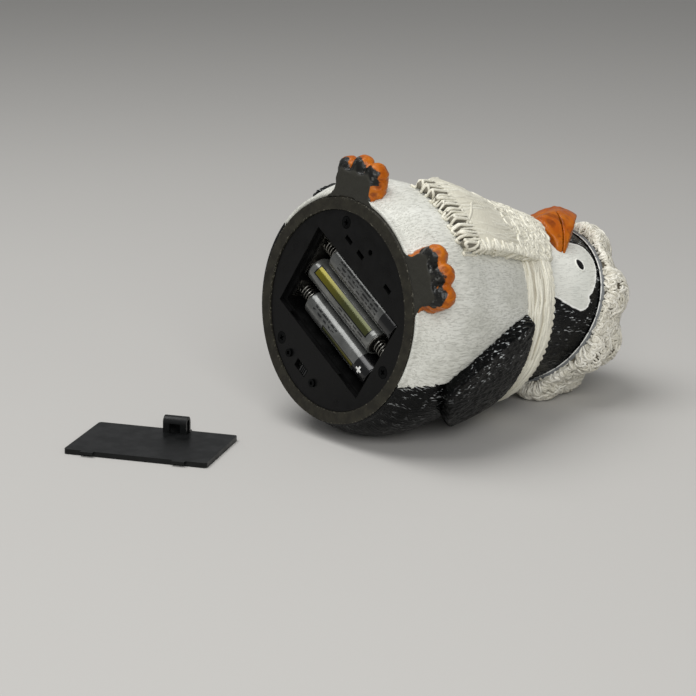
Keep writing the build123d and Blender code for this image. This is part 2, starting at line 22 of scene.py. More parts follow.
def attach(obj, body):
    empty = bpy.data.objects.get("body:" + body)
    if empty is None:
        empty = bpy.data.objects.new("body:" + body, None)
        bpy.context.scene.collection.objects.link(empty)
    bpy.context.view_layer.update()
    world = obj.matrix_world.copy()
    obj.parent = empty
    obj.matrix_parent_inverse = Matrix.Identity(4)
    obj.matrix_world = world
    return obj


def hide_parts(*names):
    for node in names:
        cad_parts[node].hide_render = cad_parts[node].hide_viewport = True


LOG = logging.getLogger("penguin")
Socket, Tree = bpy.types.NodeSocket, bpy.types.NodeTree
Material, Mesh, Piece = bpy.types.Material, bpy.types.Mesh, bpy.types.Object
MM = 0.001
FIGURE_BODY = "figurine"

# How the figure lies, as in the CAD source
NOSE_DOWN = 6.8
ROLL_LEFT = 34.13
BASE_POINT = (-0.027117, -0.005357, 0.050358)
FIGURE = (Matrix.Translation(BASE_POINT) @ Matrix.Rotation(math.radians(90 + NOSE_DOWN), 4, "Y")
          @ Matrix.Rotation(math.radians(ROLL_LEFT - 90), 4, "Z"))
FIGURE_MM = Matrix.Translation(Vector(BASE_POINT) / MM) @ FIGURE.to_3x3().to_4x4()

# The camera as it stood to the figure, which lay by these angles when it was fitted
FITTED_LIE = (Matrix.Translation((0.0, 0.0, 0.04844)) @ Matrix.Rotation(math.radians(98.12), 4, "Y")
              @ Matrix.Rotation(math.radians(-56.2), 4, "Z"))
CAMERA_AT = (-0.5245, -0.6075, 0.2689)
CAMERA_AIM = (0.0797, 0.0836, 0.0)
CAMERA_LENS = 113.8

# Main sizes of the figure in millimetres and degrees
HEAD_HEIGHT = 107.0
HEAD_RADIUS = 32.5
HEAD_TURN = -24.0
HAT_TILT = -22.0
BELLY_FORWARD = 1.2
HEAD_MIDDLE = Vector((0, 0, HEAD_HEIGHT))

# A ray towards the figure starts this far from its aim, in millimetres
RAY_START = 90.0
# Sculpted points and the strands' own faces stay this far above the floor, in metres
SKIN_CLEARANCE = 0.0002
FACE_CLEARANCE = 0.00005


class Region(Enum):
    """Which painted part of the casting a sculpted skin covers."""

    BODY = "body"
    HEAD = "head"


def linear(code: str) -> tuple[float, float, float, float]:
    """Turn an sRGB hex value into linear colour.

    Args:
        code: the colour as #rrggbb.

    Returns:
        Red, green, blue and an alpha of 1.
    """
    parts = [int(code[i:i + 2], 16) / 255 for i in (1, 3, 5)]
    low = [c / 12.92 if c <= 0.04045 else ((c + 0.055) / 1.055) ** 2.4 for c in parts]
    return (low[0], low[1], low[2], 1.0)


def add(tree: Tree, kind: str, *values: object, out: int | str = 0, **settings: object) -> Socket:
    """Add one node with its settings and its inputs.

    Args:
        tree: the node tree it goes in.
        kind: Blender's name of the node type, which may leave out ShaderNode.
        values: its inputs in order, or a dict of them by name or number. Each is a value, a hex colour or the
            socket that it is linked from.
        out: name or number of the wanted output.
        settings: properties of the node, set before its inputs.

    Returns:
        The wanted output.
    """
    node = tree.nodes.new(kind if "Node" in kind else "ShaderNode" + kind)
    for key, value in settings.items():
        setattr(node, key, value)
    inputs = values[0] if values and isinstance(values[0], dict) else dict(enumerate(values))
    for key, value in inputs.items():
        if isinstance(value, Socket):
            tree.links.new(value, node.inputs[key])
        else:
            colour = isinstance(value, str) and value.startswith("#")
            node.inputs[key].default_value = linear(value) if colour else value
    return node.outputs[out]


def figure_coordinates(tree: Tree, stretch: Sequence[float] = (1, 1, 1)) -> Socket:
    """Give Object coordinates turned into the figure's own frame.

    Args:
        tree: the material's tree.
        stretch: factors on the figure's left, back and up.

    Returns:
        A vector socket, in metres before the stretch.
    """
    turn = FIGURE.to_3x3().transposed()
    shift = turn @ -FIGURE.translation
    own = add(tree, "Mapping", add(tree, "TexCoord", out="Object"), shift, turn.to_euler("XYZ"))
    return own if tuple(stretch) == (1, 1, 1) else add(tree, "Mapping", {"Vector": own, "Scale": tuple(stretch)})


def speckle(tree: Tree, vector: Socket, size_mm: float, low: float, high: float, detail: float = 2.0) -> Socket:
    """Give noise of a real size, cut to a range.

    Args:
        tree: the material's tree.
        vector: coordinates in metres.
        size_mm: size of the pattern's features.
        low: noise value that gives 0.
        high: noise value that gives 1.
        detail: octaves of the noise.

    Returns:
        A value socket from 0 to 1.
    """
    base = add(tree, "TexNoise", {"Vector": vector, "Scale": 1 / (size_mm * MM), "Detail": detail})
    return add(tree, "MapRange", base, low, high)


def layered(tree: Tree, colour: Socket | str, *coats: tuple[Socket, Socket | str]) -> Socket:
    """Lay coats of paint over a colour.

    Args:
        tree: the material's tree.
        colour: the lowest colour, as a socket or a hex value.
        coats: for each coat, how far it covers what lies below, and its own colour.

    Returns:
        The colour that is seen.
    """
    for cover, paint in coats:
        colour = add(tree, "Mix", {0: cover, 6: colour, 7: paint}, out=2, data_type="RGBA")
    return colour


def overlap(tree: Tree, *masks: Socket | float) -> Socket:
    """Multiply masks and shares of them, and return the result."""
    return reduce(lambda first, second: add(tree, "Math", first, second, operation="MULTIPLY"), masks)


def window(tree: Tree, value: Socket, low: float, high: float) -> Socket:
    """Give 1 where a value lies between two numbers, and 0 elsewhere."""
    return overlap(tree, add(tree, "Math", value, low, operation="GREATER_THAN"),
                   add(tree, "Math", value, high, operation="LESS_THAN"))


@dataclass(frozen=True)
class Finish:
    """One surface: what it is made of, and the numbers that a shader starts from."""

    name: str
    colour: str
    shade: str
    roughness: float
    metallic: float = 0.0
    ior: float = 1.5
    grain_mm: float = 0.4
    grain_depth_mm: float = 0.02
    specular: float = 0.5

    def dress(self) -> Material:
        """Make the material, with its constant sockets set and its patterns linked.

        Returns:
            The material.
        """
        material = bpy.data.materials.new(self.name)
        material.use_nodes = True
        tree = material.node_tree
        sockets = tree.nodes["Principled BSDF"].inputs
        constants = {"Metallic": self.metallic, "Roughness": self.roughness, "Specular IOR Level": self.specular}
        if not self.metallic:
            constants["IOR"] = self.ior
        for key, value in constants.items():
            sockets[key].default_value = value
        patterns = self.patterns(tree)
        if "Height" in patterns:
            relief = {"Height": patterns.pop("Height"), "Distance": self.grain_depth_mm * MM}
            patterns["Normal"] = add(tree, "Bump", relief)
        for key, source in patterns.items():
            tree.links.new(source, sockets[key])
        return material

    def patterns(self, tree: Tree) -> dict[str, Socket]:
        """Draw two tones and a fine grain.

        Args:
            tree: the material's tree.

        Returns:
            What each socket of the shader is linked from, and the height of the grain.
        """
        place = add(tree, "TexCoord", out="Object")
        tones = speckle(tree, place, 14 * self.grain_mm, 0.35, 0.65, 4.0)
        low, high = max(0.02, self.roughness - 0.07), min(1.0, self.roughness + 0.1)
        return {"Base Color": layered(tree, self.colour, (tones, self.shade)),
                "Roughness": add(tree, "MapRange", tones, 0.0, 1.0, low, high),
                "Height": speckle(tree, place, self.grain_mm, 0.2, 0.8, 3.0)}


@dataclass(frozen=True)
class PlumagePaint(Finish):
    """Brushed enamel on cast resin: satin white and gloss black, parted by a tufted edge.

    The brush leaves short dashes along the feathers, darker in the white. The white is painted darker in the hollows
    between the strokes, as painted shade; in the black, the crests of the strokes get a painted highlight and, near the
    white, painted glints.
    """

    grain_depth_mm: float = 0.1
    white: str = "#dadad2"
    white_shade: str = "#cdcdc4"
    white_dash: str = "#b3b3a9"
    white_hollow_shade: str = "#8f8f86"
    white_line: str = "#f3f3ee"
    white_roughness: float = 0.46
    painted_glint: str = "#cdd0d0"
    dash_mm: float = 0.5
    tuft_mm: float = 2.6
    dash_share: float = 0.42
    line_mm: float = 0.0

    def patterns(self, tree: Tree) -> dict[str, Socket]:
        """Draw the two-colour paint from the skin's own attributes.

        Args:
            tree: the material's tree.

        Returns:
            What each socket of the shader is linked from, and the height of the dashes.
        """
        own, along = figure_coordinates(tree), figure_coordinates(tree, (1, 1, 0.17))
        side, relief = (add(tree, "Attribute", out="Fac", attribute_name=key) for key in ("paint", "relief"))
        tufts = speckle(tree, along, 1.0, 0.3, 0.7)
        tufts = add(tree, "Math", tufts, self.tuft_mm, -self.tuft_mm / 2, operation="MULTIPLY_ADD")
        white = add(tree, "MapRange", add(tree, "Math", side, tufts, operation="ADD"), -0.1, 0.1)
        dashes = speckle(tree, along, self.dash_mm, 0.54, 0.64, 1.0)
        # The white is painted darker in the hollows between the strokes: painted shade
        pale = layered(tree, self.white, (speckle(tree, own, 12.0, 0.35, 0.65), self.white_shade),
                       (overlap(tree, dashes, self.dash_share), self.white_dash),
                       (add(tree, "MapRange", relief, 0.0, 0.25, 0.16, 0.0), self.white_hollow_shade))
        if self.line_mm:
            line = add(tree, "MapRange", side, self.line_mm, 1.6 * self.line_mm, 0.9, 0.0)
            pale = layered(tree, pale, (line, self.white_line))
        # Painted glints on the crests of the strokes in the black near the white
        crest_glints = overlap(tree, add(tree, "MapRange", relief, 0.66, 0.82), speckle(tree, own, 3.5, 0.45, 0.53),
                          add(tree, "MapRange", side, -13.0, -3.0, 0.12, 1.0))
        # Crests of the strokes in the black are painted lighter: painted highlight
        crest_highlight = add(tree, "MapRange", relief, 0.7, 1.0, 0.0, 0.3)
        dark = layered(tree, self.colour, (crest_highlight, self.shade), (crest_glints, self.painted_glint))
        return {"Base Color": layered(tree, dark, (white, pale)), "Height": dashes,
                "Roughness": add(tree, "MapRange", white, 0.0, 1.0, self.roughness, self.white_roughness)}


@dataclass(frozen=True)
class GlossPaint(Finish):
    """Gloss black enamel on cast resin, with painted glints where the feathers stand up by the front edge."""

    grain_depth_mm: float = 0.1
    painted_glint: str = "#8a9091"
    dash_mm: float = 0.8
    edge_slope: float = 0.3
    edge_mm: float = 9.5

    def patterns(self, tree: Tree) -> dict[str, Socket]:
        """Draw the paint and its painted glints.

        Args:
            tree: the material's tree.

        Returns:
            What each socket of the shader is linked from, and the height of the dashes.
        """
        own = figure_coordinates(tree)
        relief = add(tree, "Attribute", out="Fac", attribute_name="relief")
        dashes = speckle(tree, figure_coordinates(tree, (1, 1, 0.3)), self.dash_mm, 0.55, 0.64, 1.0)
        patch = speckle(tree, own, 9.0, 0.4, 0.5)
        spot = add(tree, "SeparateXYZ", own).node.outputs
        behind = add(tree, "Math", spot["Z"], self.edge_slope, spot["Y"], operation="MULTIPLY_ADD")
        behind = add(tree, "Math", behind, self.edge_mm * MM, operation="ADD")
        # Painted glints on the standing feathers near the front edge
        edge_glints = overlap(tree, dashes, patch, add(tree, "MapRange", relief, 0.55, 0.8),
                          add(tree, "MapRange", behind, 4 * MM, 11 * MM, 1.0, 0.08))
        return {"Base Color": layered(tree, self.colour, (patch, self.shade), (edge_glints, self.painted_glint)),
                "Height": dashes}


@dataclass(frozen=True)
class OrangePaint(Finish):
    """Orange enamel on cast resin, with brown lines washed on, painted shade in the hollows of the relief and smears of
    black at the sole.
    """

    grain_depth_mm: float = 0.25
    wash_and_shade: str = "#6a2a08"
    sole: str = "#2b2a24"
    smear: tuple[str, str] = ("#141412", "#4d4d49")
    sole_height_mm: float = 0.0
    smear_height_mm: float = 0.0
    sole_reach_mm: float = 50.5

    def patterns(self, tree: Tree) -> dict[str, Socket]:
        """Draw the washed paint, with a dark sole where the finish has one.

        Args:
            tree: the material's tree.

        Returns:
            What each socket of the shader is linked from, and the height of the paint.
        """
        own = figure_coordinates(tree)
        relief = add(tree, "Attribute", out="Fac", attribute_name="relief")
        cloud, lines = speckle(tree, own, 5.0, 0.35, 0.65, 4.0), speckle(tree, own, 1.6, 0.6, 0.7)
        # Brown lines washed on at random, and painted shade in the hollows of the relief
        colour = layered(tree, self.colour, (cloud, self.shade), (overlap(tree, lines, 0.35), self.wash_and_shade),
                         (add(tree, "MapRange", relief, 0.0, 0.4, 0.85, 0.0), self.wash_and_shade))
        rough = add(tree, "Math", cloud, 0.12, self.roughness, operation="MULTIPLY_ADD")
        if self.smear_height_mm:
            height = add(tree, "SeparateXYZ", own, out="Z")
            wander = add(tree, "Math", cloud, 1.8 * MM, -0.9 * MM, operation="MULTIPLY_ADD")
            level = add(tree, "Math", height, wander, operation="ADD")
            reach = add(tree, "VectorMath", figure_coordinates(tree, (1, 1, 0)), out="Value", operation="LENGTH")
            front = add(tree, "MapRange", reach, self.sole_reach_mm * MM, (self.sole_reach_mm + 1.2) * MM)
            smear = add(tree, "Math", front, self.smear_height_mm * MM, 0.2 * MM, operation="MULTIPLY_ADD")
            under = add(tree, "Math", smear, level, operation="SUBTRACT")
            black = add(tree, "MapRange", under, -0.2 * MM, 0.2 * MM)
            low, high = (self.sole_height_mm - 0.1) * MM, (self.sole_height_mm + 0.1) * MM
            flat = add(tree, "MapRange", height, low, high, 1.0, 0.0)
            tar = layered(tree, self.smear[0], (lines, self.smear[1]))
            colour = layered(tree, colour, (black, tar), (flat, self.sole))
            rough = add(tree, "Math", flat, 0.3, rough, operation="MULTIPLY_ADD")
        return {"Base Color": colour, "Roughness": rough, "Height": cloud}


@dataclass(frozen=True)
class KnitPaint(Finish):
    """Off-white enamel over cast knitting: satin, with each strand its own tone and painted shade on the strands that
    lie deeper.
    """

    grain_depth_mm: float = 0.12
    # Colours of painted shade: on the strands that lie deeper, and below a height
    between: str = "#6f685a"
    wash_and_shade: str = "#5d584b"
    black: str = "#070808"
    black_within_mm: float = 0.0
    shade_below_mm: float = 0.0

    def patterns(self, tree: Tree) -> dict[str, Socket]:
        """Draw the paint from each strand's tone.

        Args:
            tree: the material's tree.

        Returns:
            What each socket of the shader is linked from, and the height of the paint.
        """
        own = figure_coordinates(tree)
        tone, depth = (add(tree, "Attribute", out="Fac", attribute_name=key) for key in ("tone", "depth"))
        cloud = overlap(tree, speckle(tree, own, 6.0, 0.3, 0.7, 3.0), 0.3)
        share = add(tree, "Math", tone, 0.7, cloud, operation="MULTIPLY_ADD")
        # Strands that lie deeper are painted darker: painted shade
        colour = layered(tree, self.colour, (share, self.shade), (overlap(tree, depth, 0.75), self.between))
        # Painted shade below a height, among the roots of the fringe loops
        if self.shade_below_mm:
            height = add(tree, "SeparateXYZ", own, out="Z")
            low, high = (self.shade_below_mm - 1) * MM, (self.shade_below_mm + 1) * MM
            colour = layered(tree, colour, (add(tree, "MapRange", height, low, high, 0.9, 0.0), self.wash_and_shade))
        if self.black_within_mm:
            away = add(tree, "VectorMath", own, HEAD_MIDDLE * MM, out="Value", operation="DISTANCE")
            within = add(tree, "Math", away, self.black_within_mm * MM, operation="LESS_THAN")
            colour = layered(tree, colour, (within, self.black))
        return {"Base Color": colour, "Height": speckle(tree, own, 0.9, 0.3, 0.7)}


@dataclass(frozen=True)
class RimPaint(Finish):
    """Bare and scuffed olive-grey paint under the casting, with light specks along its edges: rubbed through at the
    outer edge and painted glints at the inner edge.
    """

    grain_depth_mm: float = 0.1
    # Light specks near both edges: scuffs at the outer edge, painted glints at the inner edge
    scuff_and_glint: str = "#6a675b"
    scuff_and_glint_mm: float = 0.6
    rim_mm: tuple[float, float] = (38.45, 43.0)

    def patterns(self, tree: Tree) -> dict[str, Socket]:
        """Draw the scuffed paint and its painted glints from the distance to the figure's axis.

        Args:
            tree: the material's tree.

        Returns:
            What each socket of the shader is linked from, and the height of the paint.
        """
        own = figure_coordinates(tree)
        reach = add(tree, "VectorMath", figure_coordinates(tree, (1, 1, 0)), out="Value", operation="LENGTH")
        wear_and_glint = 0.0
        for edge in self.rim_mm:
            off = add(tree, "Math", add(tree, "Math", reach, edge * MM, operation="SUBTRACT"), operation="ABSOLUTE")
            near = add(tree, "MapRange", off, 0.0, self.scuff_and_glint_mm * MM, 1.0, 0.0)
            wear_and_glint = add(tree, "Math", wear_and_glint, near, operation="ADD")
        worn_and_glinting = overlap(tree, add(tree, "Math", wear_and_glint, 1.0, operation="MINIMUM"), speckle(tree, own, 0.8, 0.58, 0.66))
        cloud = speckle(tree, own, 4.0, 0.4, 0.62, 4.0)
        return {"Base Color": layered(tree, self.colour, (cloud, self.shade), (worn_and_glinting, self.scuff_and_glint)), "Height": cloud}


@dataclass(frozen=True)
class CellSleeve(Finish):
    """Printed heat-shrink film on a dry cell: dull silver with a straight stripe, ruled dashes and a dark end.

    Shares round the cell are 0.5 where it faces out of the bay; shares along it grow towards its nub. A film
    whose dark end would start past the nub has none.
    """

    metallic: float = 0.5
    dark: str = "#0b0b0c"
    ink: str = "#161617"
    plus: str = "#d8d8d4"
    border: str = "#101010"
    accents: tuple[str, str] = ("#3f4222", "#6f6712")
    stripe: tuple[float, float] = (0.0, 0.0)
    stripe_along: tuple[float, float] = (0.08, 0.9)
    border_share: float = 0.014
    rows_around: tuple[float, float] = (0.3, 0.6)
    rows_along: tuple[float, float] = (0.12, 0.74)
    rulings: tuple[float, float] = (22.0, 30.0)
    dark_from: float = 0.795
    plus_at: float = 0.5
    plus_along: float = 0.87
    plus_arms: tuple[tuple[float, float], ...] = ((0.012, 0.036), (0.045, 0.0105))

    def patterns(self, tree: Tree) -> dict[str, Socket]:
        """Draw the printed film from the cell's own UV map.

        Args:
            tree: the material's tree.

        Returns:
            What each socket of the shader is linked from.
        """
        spot = add(tree, "UVMap", uv_map="wrap")
        parts = add(tree, "SeparateXYZ", spot).node.outputs
        around, along = parts["X"], parts["Y"]
        cloud = speckle(tree, add(tree, "TexCoord", out="Object"), 5.0, 0.35, 0.65)
        colour = layered(tree, self.colour, (cloud, self.shade))
        if self.stripe[1]:
            gold = layered(tree, self.accents[0], (add(tree, "MapRange", along, 0.45, 0.9), self.accents[1]))
            for more, paint in ((self.border_share, self.border), (0.0, gold)):
                spans = ((around, self.stripe), (along, self.stripe_along))
                inside = [window(tree, way, span[0] - more, span[1] + more) for way, span in spans]
                colour = layered(tree, colour, (overlap(tree, *inside), paint))
        rows, breaks = self.rulings
        ruled = add(tree, "Math", overlap(tree, around, rows), operation="FRACT")
        lie = add(tree, "Mapping", {"Vector": spot, "Scale": (rows, breaks, 1.0)})
        broken = add(tree, "TexNoise", {"Vector": lie, "Scale": 1.0, "Detail": 0.0})
        dashes = overlap(tree, add(tree, "Math", ruled, 0.5, operation="LESS_THAN"),
                         add(tree, "Math", broken, 0.44, operation="GREATER_THAN"),
                         window(tree, around, *self.rows_around), window(tree, along, *self.rows_along), 0.85)
        colour = layered(tree, colour, (dashes, self.ink))
        if self.dark_from > 1:
            return {"Base Color": colour}
        end = add(tree, "Math", along, self.dark_from, operation="GREATER_THAN")
        arms = [overlap(tree, window(tree, around, self.plus_at - wide, self.plus_at + wide),
                        window(tree, along, self.plus_along - long, self.plus_along + long))
                for wide, long in self.plus_arms]
        plus = overlap(tree, add(tree, "Math", *arms, operation="MAXIMUM"), end)
        bare = add(tree, "Math", 1.0, end, operation="SUBTRACT")
        return {"Base Color": layered(tree, colour, (end, self.dark), (plus, self.plus)),
                "Metallic": overlap(tree, bare, self.metallic)}


# Enamel over cast resin, put on with a brush: gloss black and satin white, with a painted highlight on the crests in
# the black
PLUMAGE = PlumagePaint("brushed_enamel_plumage", "#050606", "#111314", 0.25, specular=0.17)
FACE = PlumagePaint("brushed_enamel_face", "#060707", "#121414", 0.26, specular=0.17, white="#e3e3db",
                    white_shade="#d8d9d1", tuft_mm=0.2, dash_share=0.1, line_mm=0.45)
# Gloss enamel with painted glints on the standing feathers
FLIPPER = GlossPaint("gloss_enamel_flipper", "#030404", "#070808", 0.26, specular=0.1, painted_glint="#ced2d2")
# Orange enamel with brown lines washed on and painted shade in its hollows, glossy where it lies thick
BEAK = OrangePaint("orange_enamel_beak", "#a04c02", "#b66408", 0.28, wash_and_shade="#5a2304", specular=0.28)
FEET = OrangePaint("orange_enamel_feet", "#a45004", "#b8660c", 0.28, specular=0.28, sole_height_mm=0.35,
                   smear_height_mm=2.1)
# Satin enamel over a cast imitation of thick yarn
SCARF = KnitPaint("cream_enamel_scarf", "#e8e5d6", "#d3cfbe", 0.45)
# The tail's ground is painted darker below the top of the fringe: painted shade among its loops
SCARF_GROUND = KnitPaint("cream_enamel_ground", "#d8d4c3", "#c8c3b0", 0.5, shade_below_mm=31.5)
# The collar's ground shows only between its strands and is painted darker there: painted shade
COLLAR_SHADED_GROUND = KnitPaint("collar_ground_painted_shade", "#bfb9a8", "#aaa492", 0.5)
HAT = KnitPaint("cream_enamel_hat", "#efece1", "#c3bead", 0.42)
HEM = KnitPaint("grey_enamel_hem", "#7f8182", "#5f6264", 0.4, black_within_mm=33.15)
EDGE = KnitPaint("white_enamel_edge", "#ecece6", "#dcdcd6", 0.4)
# A dark, flat ground under the hat's strands: painted shade seen between them
CREVICE_SHADE = Finish("painted_shade_crevice", "#554f42", "#7a7364", 0.7, grain_mm=0.9, grain_depth_mm=0.2, specular=0.2)
# Bare painted resin under the rim, matt and scuffed, with painted glints along its inner edge
RIM = RimPaint("scuffed_glinting_paint_rim", "#211f19", "#2b2921", 0.6, specular=0.2)
# Gloss black enamel bead, and the white line that frames it
EYE = Finish("gloss_enamel_eye", "#050606", "#0c0d0e", 0.14, grain_depth_mm=0.005, specular=0.3)
EYE_RIM = Finish("brushed_enamel_line", "#eeeee6", "#e2e2da", 0.35, grain_depth_mm=0.01)
# Injection-moulded ABS, black with a satin skin
CASE = Finish("moulded_abs_black", "#060606", "#0b0b0b", 0.34, grain_mm=0.35, grain_depth_mm=0.015, specular=0.16)
LID = Finish("moulded_abs_lid", "#0b0c0c", "#121313", 0.38, grain_mm=0.4, grain_depth_mm=0.02, specular=0.22)
# Blackened steel screws, nickel-plated strip and wire, and a bright zinc-plated switch frame
SCREW = Finish("blackened_steel_screw", "#0d0e0f", "#18191a", 0.4, metallic=1.0)
NICKEL = Finish("nickel_plated_steel", "#a3a29c", "#75736d", 0.3, metallic=1.0, grain_mm=0.3)
SWITCH = Finish("zinc_plated_frame", "#a5a6a5", "#85867f", 0.35, metallic=1.0)
# Moulded acetal, waxy; glass and epoxy board under green lacquer; milky cast epoxy
SLIDER = Finish("moulded_acetal_slider", "#0c0d0e", "#161718", 0.45)
BOARD = Finish("glass_epoxy_board", "#1f5a33", "#2b6b3e", 0.45, grain_mm=0.5)
LAMP = Finish("milky_epoxy_lamp", "#dfe3e0", "#c8cdca", 0.2, grain_mm=0.5)
# Printed film shrunk on steel cans, satin with a metal gleam
CELLS = (CellSleeve("printed_film_cell_a", "#6b6c6a", "#595a58", 0.2, rows_around=(0.34, 0.66), plus_at=0.8),
         CellSleeve("printed_film_cell_b", "#767774", "#626360", 0.2, stripe=(0.36, 0.47), rows_around=(0.5, 0.6),
                    rows_along=(0.1, 0.5), dark_from=1.2),
         CellSleeve("printed_film_cell_c", "#6b6c6a", "#595a58", 0.2, stripe=(0.52, 0.56), stripe_along=(0.3, 0.78),
                    rows_around=(0.4, 0.5), rows_along=(0.1, 0.45)))


def stand(name: str, data: bpy.types.ID) -> Piece:
    """Make an object of a mesh, lamp or camera and link it to the scene."""
    piece = bpy.data.objects.new(name, data)
    bpy.context.scene.collection.objects.link(piece)
    return piece


def dress_node(node: str, material: Material) -> None:
    """Give a CAD node, which keeps its shape, a material in its own slot."""
    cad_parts[node].data.materials[0] = material


def place(points: np.ndarray) -> np.ndarray:
    """Lay points of the figure's own frame down where the figure lies.

    Args:
        points: N by 3, in millimetres.

    Returns:
        N by 3, in metres, in the part's frame, and never below the floor.
    """
    laid = points * MM @ np.array(FIGURE.to_3x3()).T + np.array(FIGURE.translation)
    laid[:, 2] = np.maximum(laid[:, 2], SKIN_CLEARANCE)
    return laid


def put_points(mesh: Mesh, points: np.ndarray) -> None:
    """Move a mesh's points, and keep them above the floor."""
    points[:, 2] = np.maximum(points[:, 2], FACE_CLEARANCE)
    mesh.vertices.foreach_set("co", points.ravel())


def set_attributes(mesh: Mesh, values: dict[str, Sequence[float]]) -> None:
    """Give a mesh's points a number each, by name of the attribute."""
    for key, numbers in values.items():
        mesh.attributes.new(key, "FLOAT", "POINT").data.foreach_set("value", np.asarray(numbers, np.float32))


def make_piece(name: str, mesh: Mesh, material: Material, body: str, replaces: Sequence[str] = ()) -> Piece:
    """Turn a finished mesh in the part's frame into a piece that rides on a body.

    Args:
        name: the piece's name.
        mesh: its mesh, placed and closed.
        material: its finish.
        body: the CAD body it rides on.
        replaces: CAD nodes that it stands for.

    Returns:
        The new object.
    """
    mesh.materials.clear()
    mesh.materials.append(material)
    mesh.polygons.foreach_set("use_smooth", np.ones(len(mesh.polygons), bool))
    piece = stand(name, mesh)
    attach(piece, body)
    if replaces:
        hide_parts(*replaces)
    LOG.info("%s: %d faces on %s", name, len(mesh.polygons), body)
    return piece


def mesh_from(name: str, points: np.ndarray, faces: list, attributes: dict[str, np.ndarray] | None = None) -> Mesh:
    """Build a mesh with its normals outwards.

    Args:
        name: the mesh's name.
        points: N by 3, in metres, in the part's frame.
        faces: vertex numbers of each face.
        attributes: values per vertex, by name.

    Returns:
        The mesh.
    """
    mesh = bpy.data.meshes.new(name)
    mesh.from_pydata(points, [], faces)
    set_attributes(mesh, attributes or {})
    sheet = bmesh.new()
    sheet.from_mesh(mesh)
    bmesh.ops.recalc_face_normals(sheet, faces=sheet.faces)
    sheet.to_mesh(mesh)
    sheet.free()
    return mesh


def worked(carrier: Piece) -> Mesh:
    """Turn an object with its modifiers into a plain mesh, and take the object away.

    Args:
        carrier: the object.

    Returns:
        The mesh.
    """
    graph = bpy.context.evaluated_depsgraph_get()
    mesh = bpy.data.meshes.new_from_object(carrier.evaluated_get(graph))
    carrier.modifiers.clear()
    bpy.data.objects.remove(carrier)
    return mesh


def ring_faces(rings: int, columns: int, closed: bool = True) -> list[list[int]]:
    """Quads between rings of points.

    Args:
        rings: how many rings.
        columns: points in each.
        closed: whether the last ring joins the first.

    Returns:
        Vertex numbers of each quad.
    """
    last = rings if closed else rings - 1
    r, c = np.meshgrid(np.arange(last), np.arange(columns), indexing="ij")
    after, beside = (r + 1) % rings, (c + 1) % columns
    corners = [r * columns + c, r * columns + beside, after * columns + beside, after * columns + c]
    return np.stack(corners, 2).reshape(-1, 4).tolist()


def outward(azimuth: float) -> Vector:
    """Unit vector away from the figure's axis at an azimuth in degrees."""
    a = math.radians(azimuth)
    return Vector((math.sin(a), -math.cos(a), 0))


class Surface:
    """Surface of some CAD nodes in the figure's own frame, in millimetres."""

    def __init__(self, *nodes: str) -> None:
        """Gather the nodes' triangles.

        Args:
            nodes: names of the CAD nodes.
        """
        back = FIGURE.inverted()
        points: list[Vector] = []
        faces: list[tuple[int, ...]] = []
        for node in nodes:
            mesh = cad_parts[node].data
            first = len(points)
            points += [back @ v.co / MM for v in mesh.vertices]
            faces += [tuple(first + i for i in p.vertices) for p in mesh.polygons]
        self.tree = BVHTree.FromPolygons(points, faces)

    def nearest(self, point: Vector) -> tuple[Vector, Vector]:
        """Nearest point of the surface, and the normal there."""
        return self.tree.find_nearest(point)[:2]

    def seen(self, middle: Vector, way: Vector, start: float = RAY_START) -> tuple[Vector, Vector] | None:
        """First point that a ray from outside meets.

        Args:
            middle: what the ray is aimed at.
            way: direction from there to its start.
            start: how far away it starts.

        Returns:
            The point and the normal there, if it meets anything.
        """
        spot, normal, _, _ = self.tree.ray_cast(middle + way * start, -way)
        return None if spot is None else (spot, normal)

    def beside(self, azimuth: float, height: float) -> Vector | None:
        """Point of the surface that shows at an azimuth and a height, if there is one."""
        found = self.seen(Vector((0, 0, height)), outward(azimuth))
        return found[0] if found else None

    def radius(self, height: float, middle: float) -> float:
        """Distance from the figure's axis to the surface at a height, measured at its back."""
        found = self.seen(Vector((0, 0, height)), Vector((0, 1, 0)), 200)
        return found[0].y - middle if found else 0.0


def brush_strokes(rng: np.random.Generator, rows: int, columns: int, size: tuple[float, float], count: int,
                  length: tuple[float, float], width: tuple[float, float], lean: float) -> np.ndarray:
    """Draw short raised strokes, which run mostly along the rows' direction, on a grid that joins at its sides.

    Args:
        rng: seeded generator.
        rows: grid points up the surface.
        columns: grid points round it.
        size: height and width of the grid in millimetres.
        count: how many strokes.
        length: shortest and longest stroke.
        width: narrowest and widest half width.
        lean: spread of their direction in radians.

    Returns:
        Relief from 0 to 1 at each grid point.
    """
    relief = np.zeros((rows, columns))
    up, across = size[0] / rows, size[1] / columns
    for _ in range(count):
        v, u = rng.uniform(0, size[0]), rng.uniform(0, size[1])
        long, half = rng.uniform(*length), rng.uniform(*width)
        angle, bend = rng.normal(0, lean), rng.uniform(-0.25, 0.25)
        reach = long / 2 + half
        r = np.arange(int((v - reach) / up), int((v + reach) / up) + 2)
        r = r[(r >= 0) & (r < rows)]
        spread = half + abs(math.sin(angle)) * long / 2 + 0.3
        c = np.arange(int((u - spread) / across), int((u + spread) / across) + 2)
        dv, du = (r * up - v)[:, None], (c * across - u)[None, :]
        s = dv * math.cos(angle) + du * math.sin(angle)
        t = du * math.cos(angle) - dv * math.sin(angle) + bend * s * s / max(long, 1.0)
        bump = np.clip(1 - (t / half) ** 2, 0, 1) * np.sqrt(np.clip(1 - (2 * s / long) ** 2, 0, 1))
        where = np.ix_(r, c % columns)
        relief[where] = np.maximum(relief[where], bump * rng.uniform(0.55, 1.0))
    return relief


